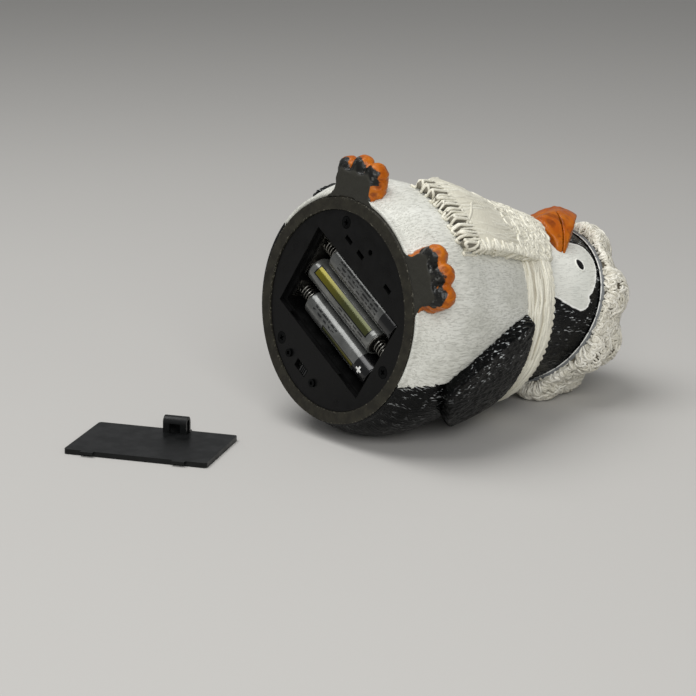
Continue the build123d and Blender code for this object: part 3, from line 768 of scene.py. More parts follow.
def outline_distance(points: np.ndarray, outline: Sequence[tuple[float, float]]) -> np.ndarray:
    """Signed distance from points to a closed outline in a plane, positive inside.

    Args:
        points: N by 2.
        outline: corners of the outline.

    Returns:
        N distances.
    """
    corners = np.array(outline, float)
    nearest = np.full(len(points), 1e9)
    inside = np.zeros(len(points), bool)
    for a, b in zip(corners, np.roll(corners, -1, axis=0)):
        edge = b - a
        share = np.clip(((points - a) @ edge) / (edge @ edge), 0, 1)
        nearest = np.minimum(nearest, np.linalg.norm(points - a - share[:, None] * edge, axis=1))
        crosses = (a[1] > points[:, 1]) != (b[1] > points[:, 1])
        slope = (b[0] - a[0]) * (points[:, 1] - a[1]) / (b[1] - a[1] if b[1] != a[1] else 1e-9) + a[0]
        inside ^= crosses & (points[:, 0] < slope)
    return np.where(inside, nearest, -nearest)


@dataclass
class Plumage:
    """A thin skin of painted feathers over the casting, of one closed sheet."""

    region: Region
    node: str
    low: float
    high: float
    columns: int
    rows: int
    relief_mm: float
    strokes: int
    seed: int
    middle: float = 0.0
    inset: float = 1.2
    face_relief: float = 1.0
    lip_mm: float = 0.0
    stroke_length: tuple[float, float] = (2.6, 6.0)
    stroke_width: tuple[float, float] = (0.24, 0.42)
    stroke_lean: float = 0.17
    # Half width of the white belly in degrees, by height in millimetres
    belly_edge: tuple[tuple[float, float], ...] = (
        (0, 86), (2, 85.5), (10, 82), (18, 79), (30, 71), (45, 65), (60, 60), (75, 57))
    # Edge of the white face in degrees from the middle line and up, closed beyond the middle line
    face_edge: tuple[tuple[float, float], ...] = (
        (21, -7), (22, -2), (23.5, 3), (24.3, 8.3), (26.8, 12.5), (31.2, 15.5), (35.8, 16.5), (41.1, 16.1),
        (46.2, 14.4), (51.7, 11.4), (56.9, 8.5), (63, 3.4), (65.4, -0.2), (69, 0.3), (72.6, -1.7), (74.4, -4.1),
        (75.5, -8.9), (72.9, -16.4), (68.8, -24.5), (65.2, -30.1), (62, -60))
    face_beyond_mm: float = -5.0
    foot_azimuth: float = 31.5
    foot_spread: float = 12.5
    foot_height: float = 2.2

    def paint(self, azimuth: np.ndarray, height: np.ndarray, radius: np.ndarray) -> np.ndarray:
        """Tell how far points lie in the white paint.

        Args:
            azimuth: of each point, in degrees.
            height: of each point.
            radius: distance of each point from the axis.

        Returns:
            Millimetres into the white, negative in the black.
        """
        if self.region is Region.BODY:
            limit = np.interp(height, *zip(*self.belly_edge))
            white = (limit - np.abs(azimuth)) * np.pi / 180 * radius
            off_foot = np.abs(np.abs(azimuth) - self.foot_azimuth)
            return np.where((off_foot < self.foot_spread) & (height < self.foot_height), -20.0, white)
        own = (azimuth - HEAD_TURN + 180) % 360 - 180
        lift = np.degrees(np.arctan2(height - HEAD_HEIGHT, radius))
        scale = HEAD_RADIUS * np.pi / 180
        flat = np.stack([np.abs(own) * np.cos(np.radians(lift)), lift], 1) * scale
        lowest, first = self.face_edge[-1][1], self.face_edge[0][1]
        edge = [(self.face_beyond_mm, up * scale) for up in (lowest, first)]
        edge += [(side * math.cos(math.radians(up)) * scale, up * scale) for side, up in self.face_edge]
        return outline_distance(flat, edge)

    def build(self, finish: Finish) -> Piece:
        """Sculpt the skin and dress it.

        Args:
            finish: its paint.

        Returns:
            The piece.
        """
        rng = np.random.default_rng(self.seed)
        surface = Surface(self.node)
        heights = np.linspace(self.low, self.high, self.rows)
        radii = np.array([surface.radius(h, -self.middle) for h in heights])
        arc = np.concatenate([[0], np.cumsum(np.hypot(np.diff(heights), np.diff(radii)))])
        even = np.linspace(0, arc[-1], self.rows)
        heights, radii = np.interp(even, arc, heights), np.interp(even, arc, radii)
        relief = brush_strokes(rng, self.rows, self.columns, (arc[-1], 2 * math.pi * radii.max()), self.strokes,
                               self.stroke_length, self.stroke_width, self.stroke_lean)
        angles = np.arange(self.columns) / self.columns * 2 * math.pi
        level = np.broadcast_to(heights[:, None], relief.shape)
        turned = np.broadcast_to((np.degrees(angles) + 180) % 360 - 180, relief.shape)
        reach = np.broadcast_to(radii[:, None], relief.shape)
        into = self.paint(turned.ravel(), level.ravel(), reach.ravel()).reshape(relief.shape)
        relief = relief * np.where(into > 0.3, self.face_relief, 1.0)
        lip = self.lip_mm * np.exp(-((into - 0.25) / 0.4) ** 2)
        fade = np.clip(np.minimum(even, arc[-1] - even) / 1.5, 0, 1)[:, None]
        out = radii[:, None] + 0.03 + (relief * self.relief_mm + lip) * fade
        # Two rings inside close the sheet
        out = np.concatenate([out, np.tile((radii[[-1, 0]] - self.inset)[:, None], self.columns)])
        level = np.concatenate([level, np.tile(heights[[-1, 0]][:, None], self.columns)])
        grid = np.stack([out * np.sin(angles), -out * np.cos(angles) - self.middle, level], 2).reshape(-1, 3)
        azimuth = (np.degrees(np.arctan2(grid[:, 0], -(grid[:, 1] + self.middle))) + 180) % 360 - 180
        paint = self.paint(azimuth, grid[:, 2], np.hypot(grid[:, 0], grid[:, 1] + self.middle))
        tall = np.where(into > 0.3, np.maximum(relief, 1 - self.face_relief), relief)
        tall = np.concatenate([tall, np.zeros((2, self.columns))]).ravel()
        name = f"{self.region.value}_plumage"
        mesh = mesh_from(name, place(grid), ring_faces(self.rows + 2, self.columns), {"paint": paint, "relief": tall})
        return make_piece(name, mesh, finish.dress(), FIGURE_BODY)


def tube_tree(sides: int) -> Tree:
    """Build the Geometry Nodes tree that turns lines into strands.

    Args:
        sides: default number of sides of a strand.

    Returns:
        The tree. Its inputs are the lines, the number of sides, a factor on the thickness and the material.
    """
    tree = bpy.data.node_groups.new("strands_along_lines", "GeometryNodeTree")
    made = {name: tree.interface.new_socket(name, in_out=way, socket_type="NodeSocket" + kind) for name, way, kind in (
        ("Lines", "INPUT", "Geometry"), ("Sides", "INPUT", "Int"), ("Thickness", "INPUT", "Float"),
        ("Finish", "INPUT", "Material"), ("Strands", "OUTPUT", "Geometry"))}
    made["Sides"].default_value, made["Thickness"].default_value = sides, 1.0
    given = add(tree, "NodeGroupInput").node.outputs
    curve = add(tree, "GeometryNodeMeshToCurve", {"Mesh": given["Lines"]})
    thick = add(tree, "GeometryNodeInputNamedAttribute", {"Name": "thick"}, out="Attribute", data_type="FLOAT")
    scale = add(tree, "ShaderNodeMath", thick, given["Thickness"], operation="MULTIPLY")
    profile = add(tree, "GeometryNodeCurvePrimitiveCircle", {"Resolution": given["Sides"], "Radius": 1.0})
    tube = add(tree, "GeometryNodeCurveToMesh",
               {"Curve": curve, "Profile Curve": profile, "Scale": scale, "Fill Caps": True})
    real = add(tree, "GeometryNodeRealizeInstances", {"Geometry": tube})
    dressed = add(tree, "GeometryNodeSetMaterial", {"Geometry": real, "Material": given["Finish"]})
    tree.links.new(dressed, tree.nodes.new("NodeGroupOutput").inputs["Strands"])
    return tree


@dataclass
class Strands:
    """Strands of cast yarn: for each its line over a surface, its thickness along it, its tone and its depth."""

    name: str
    slot: str
    seed: int
    made: list[tuple[np.ndarray, np.ndarray, float, float]] = field(default_factory=list)

    def __post_init__(self) -> None:
        """Start the seeded generator."""
        self.rng = np.random.default_rng(self.seed)

    def line(self, points: Sequence[Sequence[float]], radius: float, depth: float = 0.0, taper: float = 0.6) -> None:
        """Add one strand.

        Args:
            points: its centre line in the figure's millimetres.
            radius: its half thickness.
            depth: how far down it lies between others, from 0 to 1.
            taper: share of the thickness that is left at its ends.
        """
        share = np.linspace(0, 1, len(points))
        ends = taper + (1 - taper) * np.sqrt(np.clip(1 - np.abs(2 * share - 1) ** 6, 0, 1))
        thick = radius * MM * ends * (1 + 0.08 * np.sin(share * 9 + self.rng.uniform(0, 6)))
        self.made.append((np.array(points, float), thick, float(self.rng.uniform(0, 1)), depth))

    def walk(self, surface: Surface, start: Vector, heading: Vector, length: float, curl: Callable[[float], float],
             lift: Callable[[float], float], step: float = 0.8) -> list[Vector]:
        """Lay a line over a surface.

        Args:
            surface: what it lies on.
            start: where it starts, near the surface.
            heading: which way it sets out.
            length: how long it is.
            curl: its turn in radians per millimetre, by the share of its length.
            lift: its height over the surface, by the share of its length.
            step: distance between its points.

        Returns:
            Its points.
        """
        spot, normal = surface.nearest(start)
        ahead = (heading - heading.dot(normal) * normal).normalized()
        count = max(4, round(length / step))
        line = []
        for k in range(count + 1):
            share = k / count
            line.append(spot + normal * lift(share))
            ahead = Quaternion(normal, curl(share) * step) @ ahead
            spot, fresh = surface.nearest(spot + ahead * step)
            normal = (normal + fresh).normalized()
            ahead = (ahead - ahead.dot(normal) * normal).normalized()
        return line

    def loop(self, surface: Surface, start: Vector, heading: Vector, length: float, top: float) -> list[Vector]:
        """Lay one looped stitch: out, round a tight bend and back beside itself.

        Args:
            surface: what it lies on.
            start: where it starts.
            heading: which way it sets out.
            length: length of its yarn.
            top: how high it stands at its middle.

        Returns:
            Its points.
        """
        sign, wave, phase = self.rng.choice((-1, 1)), self.rng.uniform(0.1, 0.35), self.rng.uniform(0, 6)
        bend = sign * math.pi / (0.3 * length)
        return self.walk(surface, start, heading, length,
                         lambda s: bend if 0.36 < s < 0.66 else wave * math.sin(9 * s + phase),
                         lambda s: 0.15 + top * math.sin(math.pi * min(1.0, 0.15 + s)), 0.55)

    def build(self, finish: Finish, sides: int = 6) -> Piece:
        """Turn the lines into one closed mesh through Geometry Nodes.

        Args:
            finish: its paint.
            sides: sides of a strand.

        Returns:
            The piece.
        """
        lines, thick, tone, depth = zip(*self.made)
        counts = [len(line) for line in lines]
        firsts = np.cumsum([0] + counts[:-1]).tolist()
        edges = [(f + i, f + i + 1) for f, n in zip(firsts, counts) for i in range(n - 1)]
        mesh = bpy.data.meshes.new(self.name + "_lines")
        mesh.from_pydata(place(np.concatenate(lines)), edges, [])
        # Each strand's depth sets the painted shade on it
        set_attributes(mesh, {"thick": np.concatenate(thick), "tone": np.repeat(tone, counts),
                              "depth": np.repeat(depth, counts)})
        carrier = stand(self.name + "_lines", mesh)
        modifier = carrier.modifiers.new("strands", "NODES")
        modifier.node_group = tube_tree(sides)
        given = {"Sides": sides, "Finish": finish.dress()}
        for item in modifier.node_group.interface.items_tree:
            if item.name in given:
                modifier[item.identifier] = given[item.name]
        tubes = worked(carrier)
        tubes.name = self.name
        points = np.zeros(len(tubes.vertices) * 3, np.float32)
        tubes.vertices.foreach_get("co", points)
        put_points(tubes, points.reshape(-1, 3))
        return make_piece(self.name, tubes, given["Finish"], FIGURE_BODY)


@dataclass
class Hat:
    """The shaggy hat: a dark ground, clumps of looped yarn and a smooth hem."""

    strands: int = 2000
    strands_on_top: int = 1200
    lowest: float = 0.06
    lowest_on_top: float = 0.45
    loops_at_hem: int = 560
    loops_on_side: int = 420
    yarn_mm: float = 0.56
    strand_length: tuple[float, float] = (4.5, 8.5)
    strand_hook: tuple[float, float] = (0.2, 0.7)
    strand_spread: float = 0.7
    strand_crowding: float = 1.15
    loop_length: tuple[float, float] = (7.5, 10.5)
    loop_lean: float = 0.4
    loop_reach: tuple[float, float] = (-0.4, 3.4)
    loop_rise: tuple[float, float] = (0.06, 0.55)
    loop_level: float = 0.7
    hem_radius: float = 34.1
    hem_level: float = 1.9
    stitch_mm: float = 7.0
    stitch_points: int = 8
    row_levels: tuple[float, float] = (-0.05, 0.5)
    row_radius: float = 0.36
    piping_at: tuple[float, float] = (33.3, -0.72)
    piping_radius: float = 0.27

    def __post_init__(self) -> None:
        """Set up the hat's own frame in the figure's millimetres, with its axis along Z."""
        self.own = (Matrix.Translation(HEAD_MIDDLE) @ Matrix.Rotation(math.radians(HEAD_TURN), 4, "Z")
                    @ Matrix.Rotation(math.radians(HAT_TILT), 4, "X"))
        self.turned = self.own.to_3x3()

    def build(self) -> None:
        """Make the strands, the loops and the hem, and dress the ground."""
        surface = Surface("hat_crown")
        self.shag(surface, Strands("hat_loops", "knit_paint", 11), self.strands, self.lowest)
        self.shag(surface, Strands("hat_top_loops", "knit_paint", 15), self.strands_on_top, self.lowest_on_top)
        self.stitches(surface)
        # The crown's ground is painted dark: painted shade between the strands
        dress_node("hat_crown", CREVICE_SHADE.dress())
        self.hem()

    def shag(self, surface: Surface, loops: Strands, count: int, lowest: float) -> None:
        """Lay short curled strands over the crown.

        Args:
            surface: the crown.
            loops: what the strands go into.
            count: how many strands.
            lowest: sine of the elevation of the lowest ones.
        """
        axis = (self.turned @ Vector((0, 0, 1))).normalized()
        rng = loops.rng
        for _ in range(count):
            turn = rng.uniform(0, 2 * math.pi)
            rise = math.asin(rng.uniform(0.0, 1.0) ** self.strand_crowding * (1 - lowest) + lowest)
            way = Vector((math.cos(turn) * math.cos(rise), math.sin(turn) * math.cos(rise), math.sin(rise)))
            found = surface.seen(self.own.translation, self.turned @ way)
            if not found:
                continue
            spot, normal = found
            up = axis - axis.dot(normal) * normal
            if up.length < 0.05:
                up = normal.orthogonal()
            side = normal.cross(up.normalized())
            spread = rng.normal(0, self.strand_spread)
            heading = up.normalized() * math.cos(spread) + side * math.sin(spread)
            sign, hook, top = rng.choice((-1, 1)), rng.uniform(*self.strand_hook), rng.uniform(0.0, 1.0)
            line = loops.walk(surface, spot, heading, rng.uniform(*self.strand_length),
                              lambda s: sign * (0.05 + hook * s ** 1.5) + 0.25 * math.sin(6 * s + hook * 9),
                              lambda s: top * (0.25 + 0.75 * math.sin(math.pi * min(1.0, s * 1.1))) + 0.1)
            loops.line(line, self.yarn_mm * rng.uniform(0.85, 1.15), depth=max(0.0, 0.45 - top))
        loops.build(HAT, sides=5)

    def stitches(self, surface: Surface) -> None:
        """Make the looped stitches that spread from the hem outwards and up the sides.

        Args:
            surface: the crown.
        """
        loops = Strands("hat_stitches", "knit_paint", 13)
        rng = loops.rng
        for number in range(self.loops_at_hem + self.loops_on_side):
            turn = rng.uniform(0, 2 * math.pi)
            out = self.turned @ Vector((math.cos(turn), math.sin(turn), 0))
            side = self.turned @ Vector((-math.sin(turn), math.cos(turn), 0))
            lean = rng.normal(0, self.loop_lean)
            if number < self.loops_at_hem:
                ahead = out
                reach = self.hem_radius + rng.uniform(*self.loop_reach)
                level = self.hem_level + self.loop_level
                start = self.own @ Vector((reach * math.cos(turn), reach * math.sin(turn), level))
            else:
                ahead = self.turned @ Vector((0, 0, 1))
                rise = rng.uniform(*self.loop_rise)
                way = out * math.cos(rise) + self.turned @ Vector((0, 0, math.sin(rise)))
                found = surface.seen(self.own.translation, way)
                if not found:
                    continue
                start = found[0]
            heading = ahead * math.cos(lean) + side * math.sin(lean)
            top = rng.uniform(0.1, 1.0)
            line = loops.loop(surface, start, heading, rng.uniform(*self.loop_length), top)
            loops.line(line, self.yarn_mm * rng.uniform(0.85, 1.1), depth=max(0.0, 0.4 - top), taper=0.8)
        loops.build(HAT, sides=5)

    def hem(self) -> None:
        """Make the hem's two rows of flat stitches over its band and the piping along its inner edge."""
        rope, piping = Strands("hem_stitches", "hem_paint", 12), Strands("hem_piping", "hem_paint", 14)
        band = Surface("hat_hem")
        count = round(2 * math.pi * self.hem_radius / self.stitch_mm)
        last = self.stitch_points - 1
        for level in self.row_levels:
            start = self.own @ Vector((0, 0, self.hem_level + level))
            for index in range(count):
                points = []
                for k in range(self.stitch_points):
                    turn = 2 * math.pi * (index + 0.94 * k / last) / count
                    way = self.turned @ Vector((math.cos(turn), math.sin(turn), 0))
                    found = band.seen(start, way)
                    if found and (found[0] - start).length > 30:
                        points.append(found[0] - way * 0.1)
                if len(points) == self.stitch_points:
                    rope.line(points, self.row_radius)
        rope.build(HEM)
        radius, drop = self.piping_at
        for index in range(count):
            turns = [2 * math.pi * (index + 0.96 * k / last) / count for k in range(self.stitch_points)]
            piping.line([self.own @ Vector((radius * math.cos(t), radius * math.sin(t), self.hem_level + drop))
                         for t in turns], self.piping_radius, taper=0.5)
        piping.build(EDGE, sides=5)
        dress_node("hat_hem", HEM.dress())


@dataclass
class Scarf:
    """The scarf: long strands round the neck, a roped edge, and a broad end with a looped fringe."""

    collar_radius: float = 36.24
    collar_depth: float = 4.5
    collar_half_width: float = 8.5
    collar_count: int = 290
    collar_height: float = 73.5
    collar_tilt: float = 6.0
    collar_tilt_azimuth: float = 80.0
    band_sections: tuple[float, float] = (-84.0, 58.0)
    band_arcs: tuple[float, float] = (18.0, 64.0)
    shortest_arc: float = 8.0
    ridge_azimuths: tuple[float, float] = (28.0, 70.0)
    ridge_section: float = -92.0
    ridge_radius: float = 1.15
    rope_section: float = 66.0
    rope_pitch: float = 5.6
    rope_radius: float = 0.8
    rope_swing: float = 7.5
    rope_cut: int = 60
    tail_azimuths: tuple[float, float] = (-45.0, 20.0)
    tail_bottom: float = 29.0
    tail_corner: float = -21.0
    tail_slope: float = 1.25
    rib_step: float = 1.4
    rib_top: float = 84.0
    rib_length: tuple[float, float] = (14.0, 30.0)
    rib_lift: tuple[float, float] = (-0.68, -0.32)
    edge_step: float = 0.75
    edge_top: float = 77.0
    edge_inset: tuple[float, float] = (1.5, 5.0)
    edge_length: tuple[float, float] = (5.5, 9.5)
    curls: int = 300
    curl_bottom: float = 64.0
    curl_length: tuple[float, float] = (5.0, 11.0)
    fringe_loops: int = 26
    fringe_drop: tuple[float, float] = (5.6, 8.4)
    fringe_half: tuple[float, float] = (0.8, 1.15)
    fringe_lean: tuple[float, float] = (-1.3, 1.3)
    yarn_mm: float = 0.8

    def collar_point(self, azimuth: float, section: float, lift: float) -> Vector:
        """Point over the collar's surface.

        Args:
            azimuth: round the figure, in degrees.
            section: round the band's own section, in degrees from its outermost line towards the head.
            lift: height over the surface.

        Returns:
            The point in the figure's millimetres.
        """
        s = math.radians(section)
        out = self.collar_radius + (self.collar_depth + lift) * math.cos(s)
        up = (self.collar_half_width + lift) * math.sin(s)
        turn = Matrix.Rotation(math.radians(self.collar_tilt_azimuth), 4, "Z")
        tilt = Matrix.Rotation(math.radians(self.collar_tilt), 4, "X")
        whole = Matrix.Translation((0, -BELLY_FORWARD, self.collar_height)) @ turn @ tilt @ turn.inverted()
        return whole @ (outward(azimuth) * out + Vector((0, 0, up)))

    def build(self) -> None:
        """Make the strands of collar and tail over their cast grounds."""
        self.collar()
        self.tail()
        # The grounds show between the strands: the collar's is painted shade, the tail's has painted shade below the
        # fringe's top
        dress_node("scarf_tail", SCARF_GROUND.dress())
        dress_node("scarf_collar", COLLAR_SHADED_GROUND.dress())

    def collar(self) -> None:
        """Make the long strands of the band, the ridge below it and the twisted rope on its edge towards the head."""
        band = Strands("collar_strands", "knit_paint", 21)
        rng = band.rng
        first, last = self.tail_azimuths[1] - 1.0, 360 + self.tail_azimuths[0] + 1.0
        for _ in range(self.collar_count):
            section, azimuth = rng.uniform(*self.band_sections), rng.uniform(first - 40, last - 12)
            stop = min(last, azimuth + rng.uniform(*self.band_arcs))
            azimuth = max(first, azimuth)
            if stop < azimuth + self.shortest_arc:
                continue
            rise, phase, swing, ripple = (rng.uniform(*span) for span in ((-0.5, 0.3), (0, 6), (1, 5), (0, 1.8)))
            points = [self.collar_point(
                a, section + swing * math.sin(a / 9 + phase) + ripple * math.sin(a / 2.7 + phase),
                rise + 0.15 * math.sin(a / 3.5 + 2 * phase)) for a in np.arange(azimuth, stop, 1.7)]
            band.line(points, self.yarn_mm * rng.uniform(0.62, 0.95), depth=max(0.0, 0.2 - rise) * 0.35)
        ridge = [self.collar_point(a, self.ridge_section, 0.3) for a in np.arange(*self.ridge_azimuths, 1.5)]
        band.line(ridge, self.ridge_radius, taper=0.8)
        for twist in (0.0, math.pi):
            points = []
            for azimuth in np.arange(first, last, 0.6):
                turn = 2 * math.pi * math.radians(azimuth) * self.collar_radius / self.rope_pitch + twist
                section = self.rope_section + self.rope_swing * math.sin(turn)
                points.append(self.collar_point(azimuth, section, -0.25 + self.rope_radius * math.cos(turn)))
            for cut in range(0, len(points) - 12, self.rope_cut):
                band.line(points[cut:cut + self.rope_cut + 1], self.rope_radius, taper=0.95)
        band.build(SCARF)

    def tail(self) -> None:
        """Make the ribs, the crossing strands, the curls near the neck and the looped fringe of the scarf's end."""
        panel = Surface("scarf_tail")
        tail = Strands("tail_strands", "knit_paint", 22)
        rng = tail.rng
        low, high = self.tail_azimuths
        for azimuth in np.arange(low + 1.0, high + 0.2, self.rib_step):
            height = self.tail_bottom + max(0.0, (self.tail_corner - azimuth) * self.tail_slope) + rng.uniform(-1, 2)
            while height < self.rib_top:
                length = rng.uniform(*self.rib_length)
                found = panel.beside(azimuth + rng.uniform(-0.5, 0.5), height)
                if not found or found.length < 30:
                    break
                phase, lift = rng.uniform(0, 6), rng.uniform(*self.rib_lift)
                line = tail.walk(panel, found, Vector((0, 0, 1)), length,
                                 lambda s: 0.05 * math.sin(7 * s + phase), lambda s: lift, 1.2)
                tail.line(line, self.yarn_mm * rng.uniform(0.9, 1.15))
                height += length * rng.uniform(0.85, 1.0)
        for height in np.arange(self.tail_bottom + 1, self.edge_top, self.edge_step):
            azimuth = high - rng.uniform(*self.edge_inset)
            found = panel.beside(azimuth, height)
            if found:
                lean, lift, bow = rng.normal(0, 0.35), rng.uniform(-0.1, 0.35), rng.uniform(-0.12, 0.12)
                over = outward(azimuth + 90) + Vector((0, 0, math.tan(lean)))
                line = tail.walk(panel, found, over, rng.uniform(*self.edge_length), lambda s: bow, lambda s: lift)
                tail.line(line, self.yarn_mm * rng.uniform(0.7, 0.95))
        for _ in range(self.curls):
            azimuth = rng.uniform(low + 4, high + 1)
            found = panel.beside(azimuth, rng.uniform(self.curl_bottom, 86 - 0.45 * azimuth))
            if not found or found.to_2d().length < 28:
                continue
            spin, sign = rng.uniform(0, 6.28), rng.choice((-1, 1))
            hook, top = rng.uniform(0.15, 0.6), rng.uniform(-0.3, 0.25)
            line = tail.walk(panel, found, Vector((math.cos(spin) * 0.6, 0.3, math.sin(spin))),
                             rng.uniform(*self.curl_length), lambda s: sign * hook * (0.3 + s), lambda s: top)
            tail.line(line, self.yarn_mm * rng.uniform(0.7, 0.95))
        self.fringe(tail)
        tail.build(SCARF)

    def fringe(self, tail: Strands) -> None:
        """Add the loops that hang from the scarf's end over the chest.

        Args:
            tail: what the loops go into.
        """
        surface = Surface("scarf_tail", "body_casting", "head_casting")
        rng = tail.rng
        low, high = self.tail_corner - 1, self.tail_azimuths[1] + 1
        for index in range(self.fringe_loops):
            azimuth = low + (index + 0.5) * (high - low) / self.fringe_loops
            drop, half, lean = (rng.uniform(*span) for span in (self.fringe_drop, self.fringe_half, self.fringe_lean))
            points = []
            for share in np.linspace(-1, 1, 13):
                side = azimuth + half * math.sin(share * math.pi / 2) + lean * (1 - abs(share))
                height = self.tail_bottom + 2.5 - (drop + 2.0) * math.sqrt(max(0.0, 1 - abs(share) ** 2.4))
                found = surface.beside(side, height)
                if found:
                    points.append(found + outward(side) * (0.2 + 0.45 * (1 - abs(share))))
            if len(points) > 6:
                tail.line(points, self.yarn_mm * rng.uniform(0.62, 0.8), taper=0.8)


@dataclass
class Sculpted:
    """Casting details remade as worked resin: softened edges and hand-tooled relief."""

    voxel_mm: float = 0.5
    eye_azimuth: float = 42.0
    eye_drop: float = 1.2
    eye_width: float = 4.6
    eye_height: float = 3.5
    eye_slant: float = 0.15
    eye_proud: float = 0.55
    eye_points: int = 32
    bead_rings: int = 9
    line_sections: int = 8
    beak_width: float = 0.93
    beak_back: float = 4.0
    chin_drop: float = 1.2

    def remake(self, node: str, finish: Finish, relief_mm: float, grain: tuple[float, float, float],
               smooth: int = 2, voxel_mm: float | None = None, form: Callable[[Vector], Vector] | None = None) -> Piece:
        """Replace a CAD node by a softened copy with relief.

        Args:
            node: the CAD node.
            finish: its paint.
            relief_mm: depth of the relief.
            grain: size of the relief along the figure's left, back and up, in millimetres.
            smooth: how often its edges are rounded.
            voxel_mm: spacing of its faces.
            form: change of its form, from a point to a point in the figure's millimetres.

        Returns:
            The piece.
        """
        copy = stand(node + "_work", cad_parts[node].data.copy())
        net = copy.modifiers.new("net", "REMESH")
        net.mode, net.voxel_size = "VOXEL", (voxel_mm or self.voxel_mm) * MM
        ease = copy.modifiers.new("ease", "SMOOTH")
        ease.iterations, ease.factor = smooth, 0.6
        made = worked(copy)
        back = FIGURE.inverted()
        values, moved = [], []
        for vertex in made.vertices:
            own = back @ vertex.co / MM
            spot = Vector((own.x / grain[0], own.y / grain[1], own.z / grain[2]))
            ridge = 1 - min(1.0, 2.2 * abs(noise.noise(spot)))
            values.append(0.65 * ridge + 0.35 * (0.5 + 0.5 * noise.noise(spot * 2.3)))
            fade = min(1.0, max(0.0, own.z - 0.2) / 1.5)
            spot = vertex.co if form is None else FIGURE @ (form(own) * MM)
            moved.append(spot + vertex.normal * (values[-1] - 0.75) * relief_mm * fade * MM)
        put_points(made, np.array(moved))
        set_attributes(made, {"relief": values})
        made.update()
        return make_piece(node + "_cast", made, finish.dress(), FIGURE_BODY, [node])

    def beak_form(self, point: Vector) -> Vector:
        """Narrow the beak, draw its right side back below the ridge and let its chin down.

        Args:
            point: a point of the beak in the figure's millimetres.

        Returns:
            Where it goes.
        """
        turn = Matrix.Rotation(math.radians(HEAD_TURN), 3, "Z")
        own = turn.transposed() @ (point - HEAD_MIDDLE)
        low = min(1.3, max(0.0, (7.0 - own.z) / 6.5))
        right = min(1.0, max(0.0, (3.0 - own.x) / 9.0))
        up = own.z * (self.chin_drop if own.z < 0 else 1.0)
        return turn @ Vector((self.beak_width * own.x, own.y + self.beak_back * low * right, up)) + HEAD_MIDDLE

    def build(self) -> None:
        """Remake the feet, the beak and the flippers, and make the eyes."""
        for node in ("left_foot", "right_foot"):
            self.remake(node, FEET, relief_mm=0.5, grain=(2.6, 2.6, 5.0))
        for node in ("beak_upper", "beak_lower"):
            self.remake(node, BEAK, relief_mm=0.3, grain=(7.0, 4.0, 3.0), voxel_mm=0.42,
                        form=self.beak_form)
        for node in ("left_flipper", "right_flipper"):
            self.remake(node, FLIPPER, relief_mm=0.55, grain=(1.6, 1.6, 4.5), smooth=3,
                        voxel_mm=0.55)
        skull, gloss, rim = Surface("head_casting"), EYE.dress(), EYE_RIM.dress()
        for side, node in ((1, "left_eye"), (-1, "right_eye")):
            self.eye(skull, side, node, gloss, rim)

    def eye(self, skull: Surface, side: int, node: str, gloss: Material, rim: Material) -> None:
        """Set one domed oval bead and the raised line round it into the face.

        Args:
            skull: the head's surface.
            side: 1 for the figure's left and -1 for its right.
            node: the CAD bead it stands for.
            gloss: the bead's paint.
            rim: the line's paint.
        """
        turns = self.eye_points
        circle = [2 * math.pi * k / turns for k in range(turns)]
        bead, line = [], []
        for ring in range(1, self.bead_rings):
            share = ring / (self.bead_rings - 1)
            lift = 0.05 + self.eye_proud * math.sqrt(1 - 0.98 * share * share)
            bead += [self.eye_point(skull, side, t, share, lift) for t in circle]
        bead += [p + (HEAD_MIDDLE - p).normalized() * 0.5 for p in bead[-turns:]]
        bead_faces = ring_faces(self.bead_rings, turns, closed=False)
        bead_faces += [list(range(turns)), list(range(len(bead) - turns, len(bead)))]
        for ring in range(self.line_sections):
            turn = 2 * math.pi * ring / self.line_sections
            line += [self.eye_point(skull, side, t, 1.14 + 0.16 * math.cos(turn), 0.1 + 0.3 * math.sin(turn))
                     for t in circle]
        for name, points, faces, paint, slot, replaced in (
                (node + "_bead", bead, bead_faces, gloss, "eye_paint", [node]),
                (node + "_line", line, ring_faces(self.line_sections, turns), rim, "head_paint", [])):
            make_piece(name, mesh_from(name, place(np.array(points)), faces), paint, FIGURE_BODY, replaced)

    def eye_point(self, skull: Surface, side: int, turn: float, share: float, lift: float) -> Vector:
        """Point over the face.

        Args:
            skull: the head's surface.
            side: 1 for the figure's left eye and -1 for its right.
            turn: angle round the eye's middle, in radians.
            share: distance from its middle, as a share of the eye's own half sizes.
            lift: height over the face.

        Returns:
            The point in the figure's millimetres.
        """
        across, up = math.cos(turn) * share, math.sin(turn) * share
        azimuth = HEAD_TURN + side * (self.eye_azimuth + math.degrees(across * self.eye_width / 2 / HEAD_RADIUS))
        height = HEAD_HEIGHT - self.eye_drop + (up + self.eye_slant * across) * self.eye_height / 2
        return skull.beside(azimuth, height) + outward(azimuth) * lift


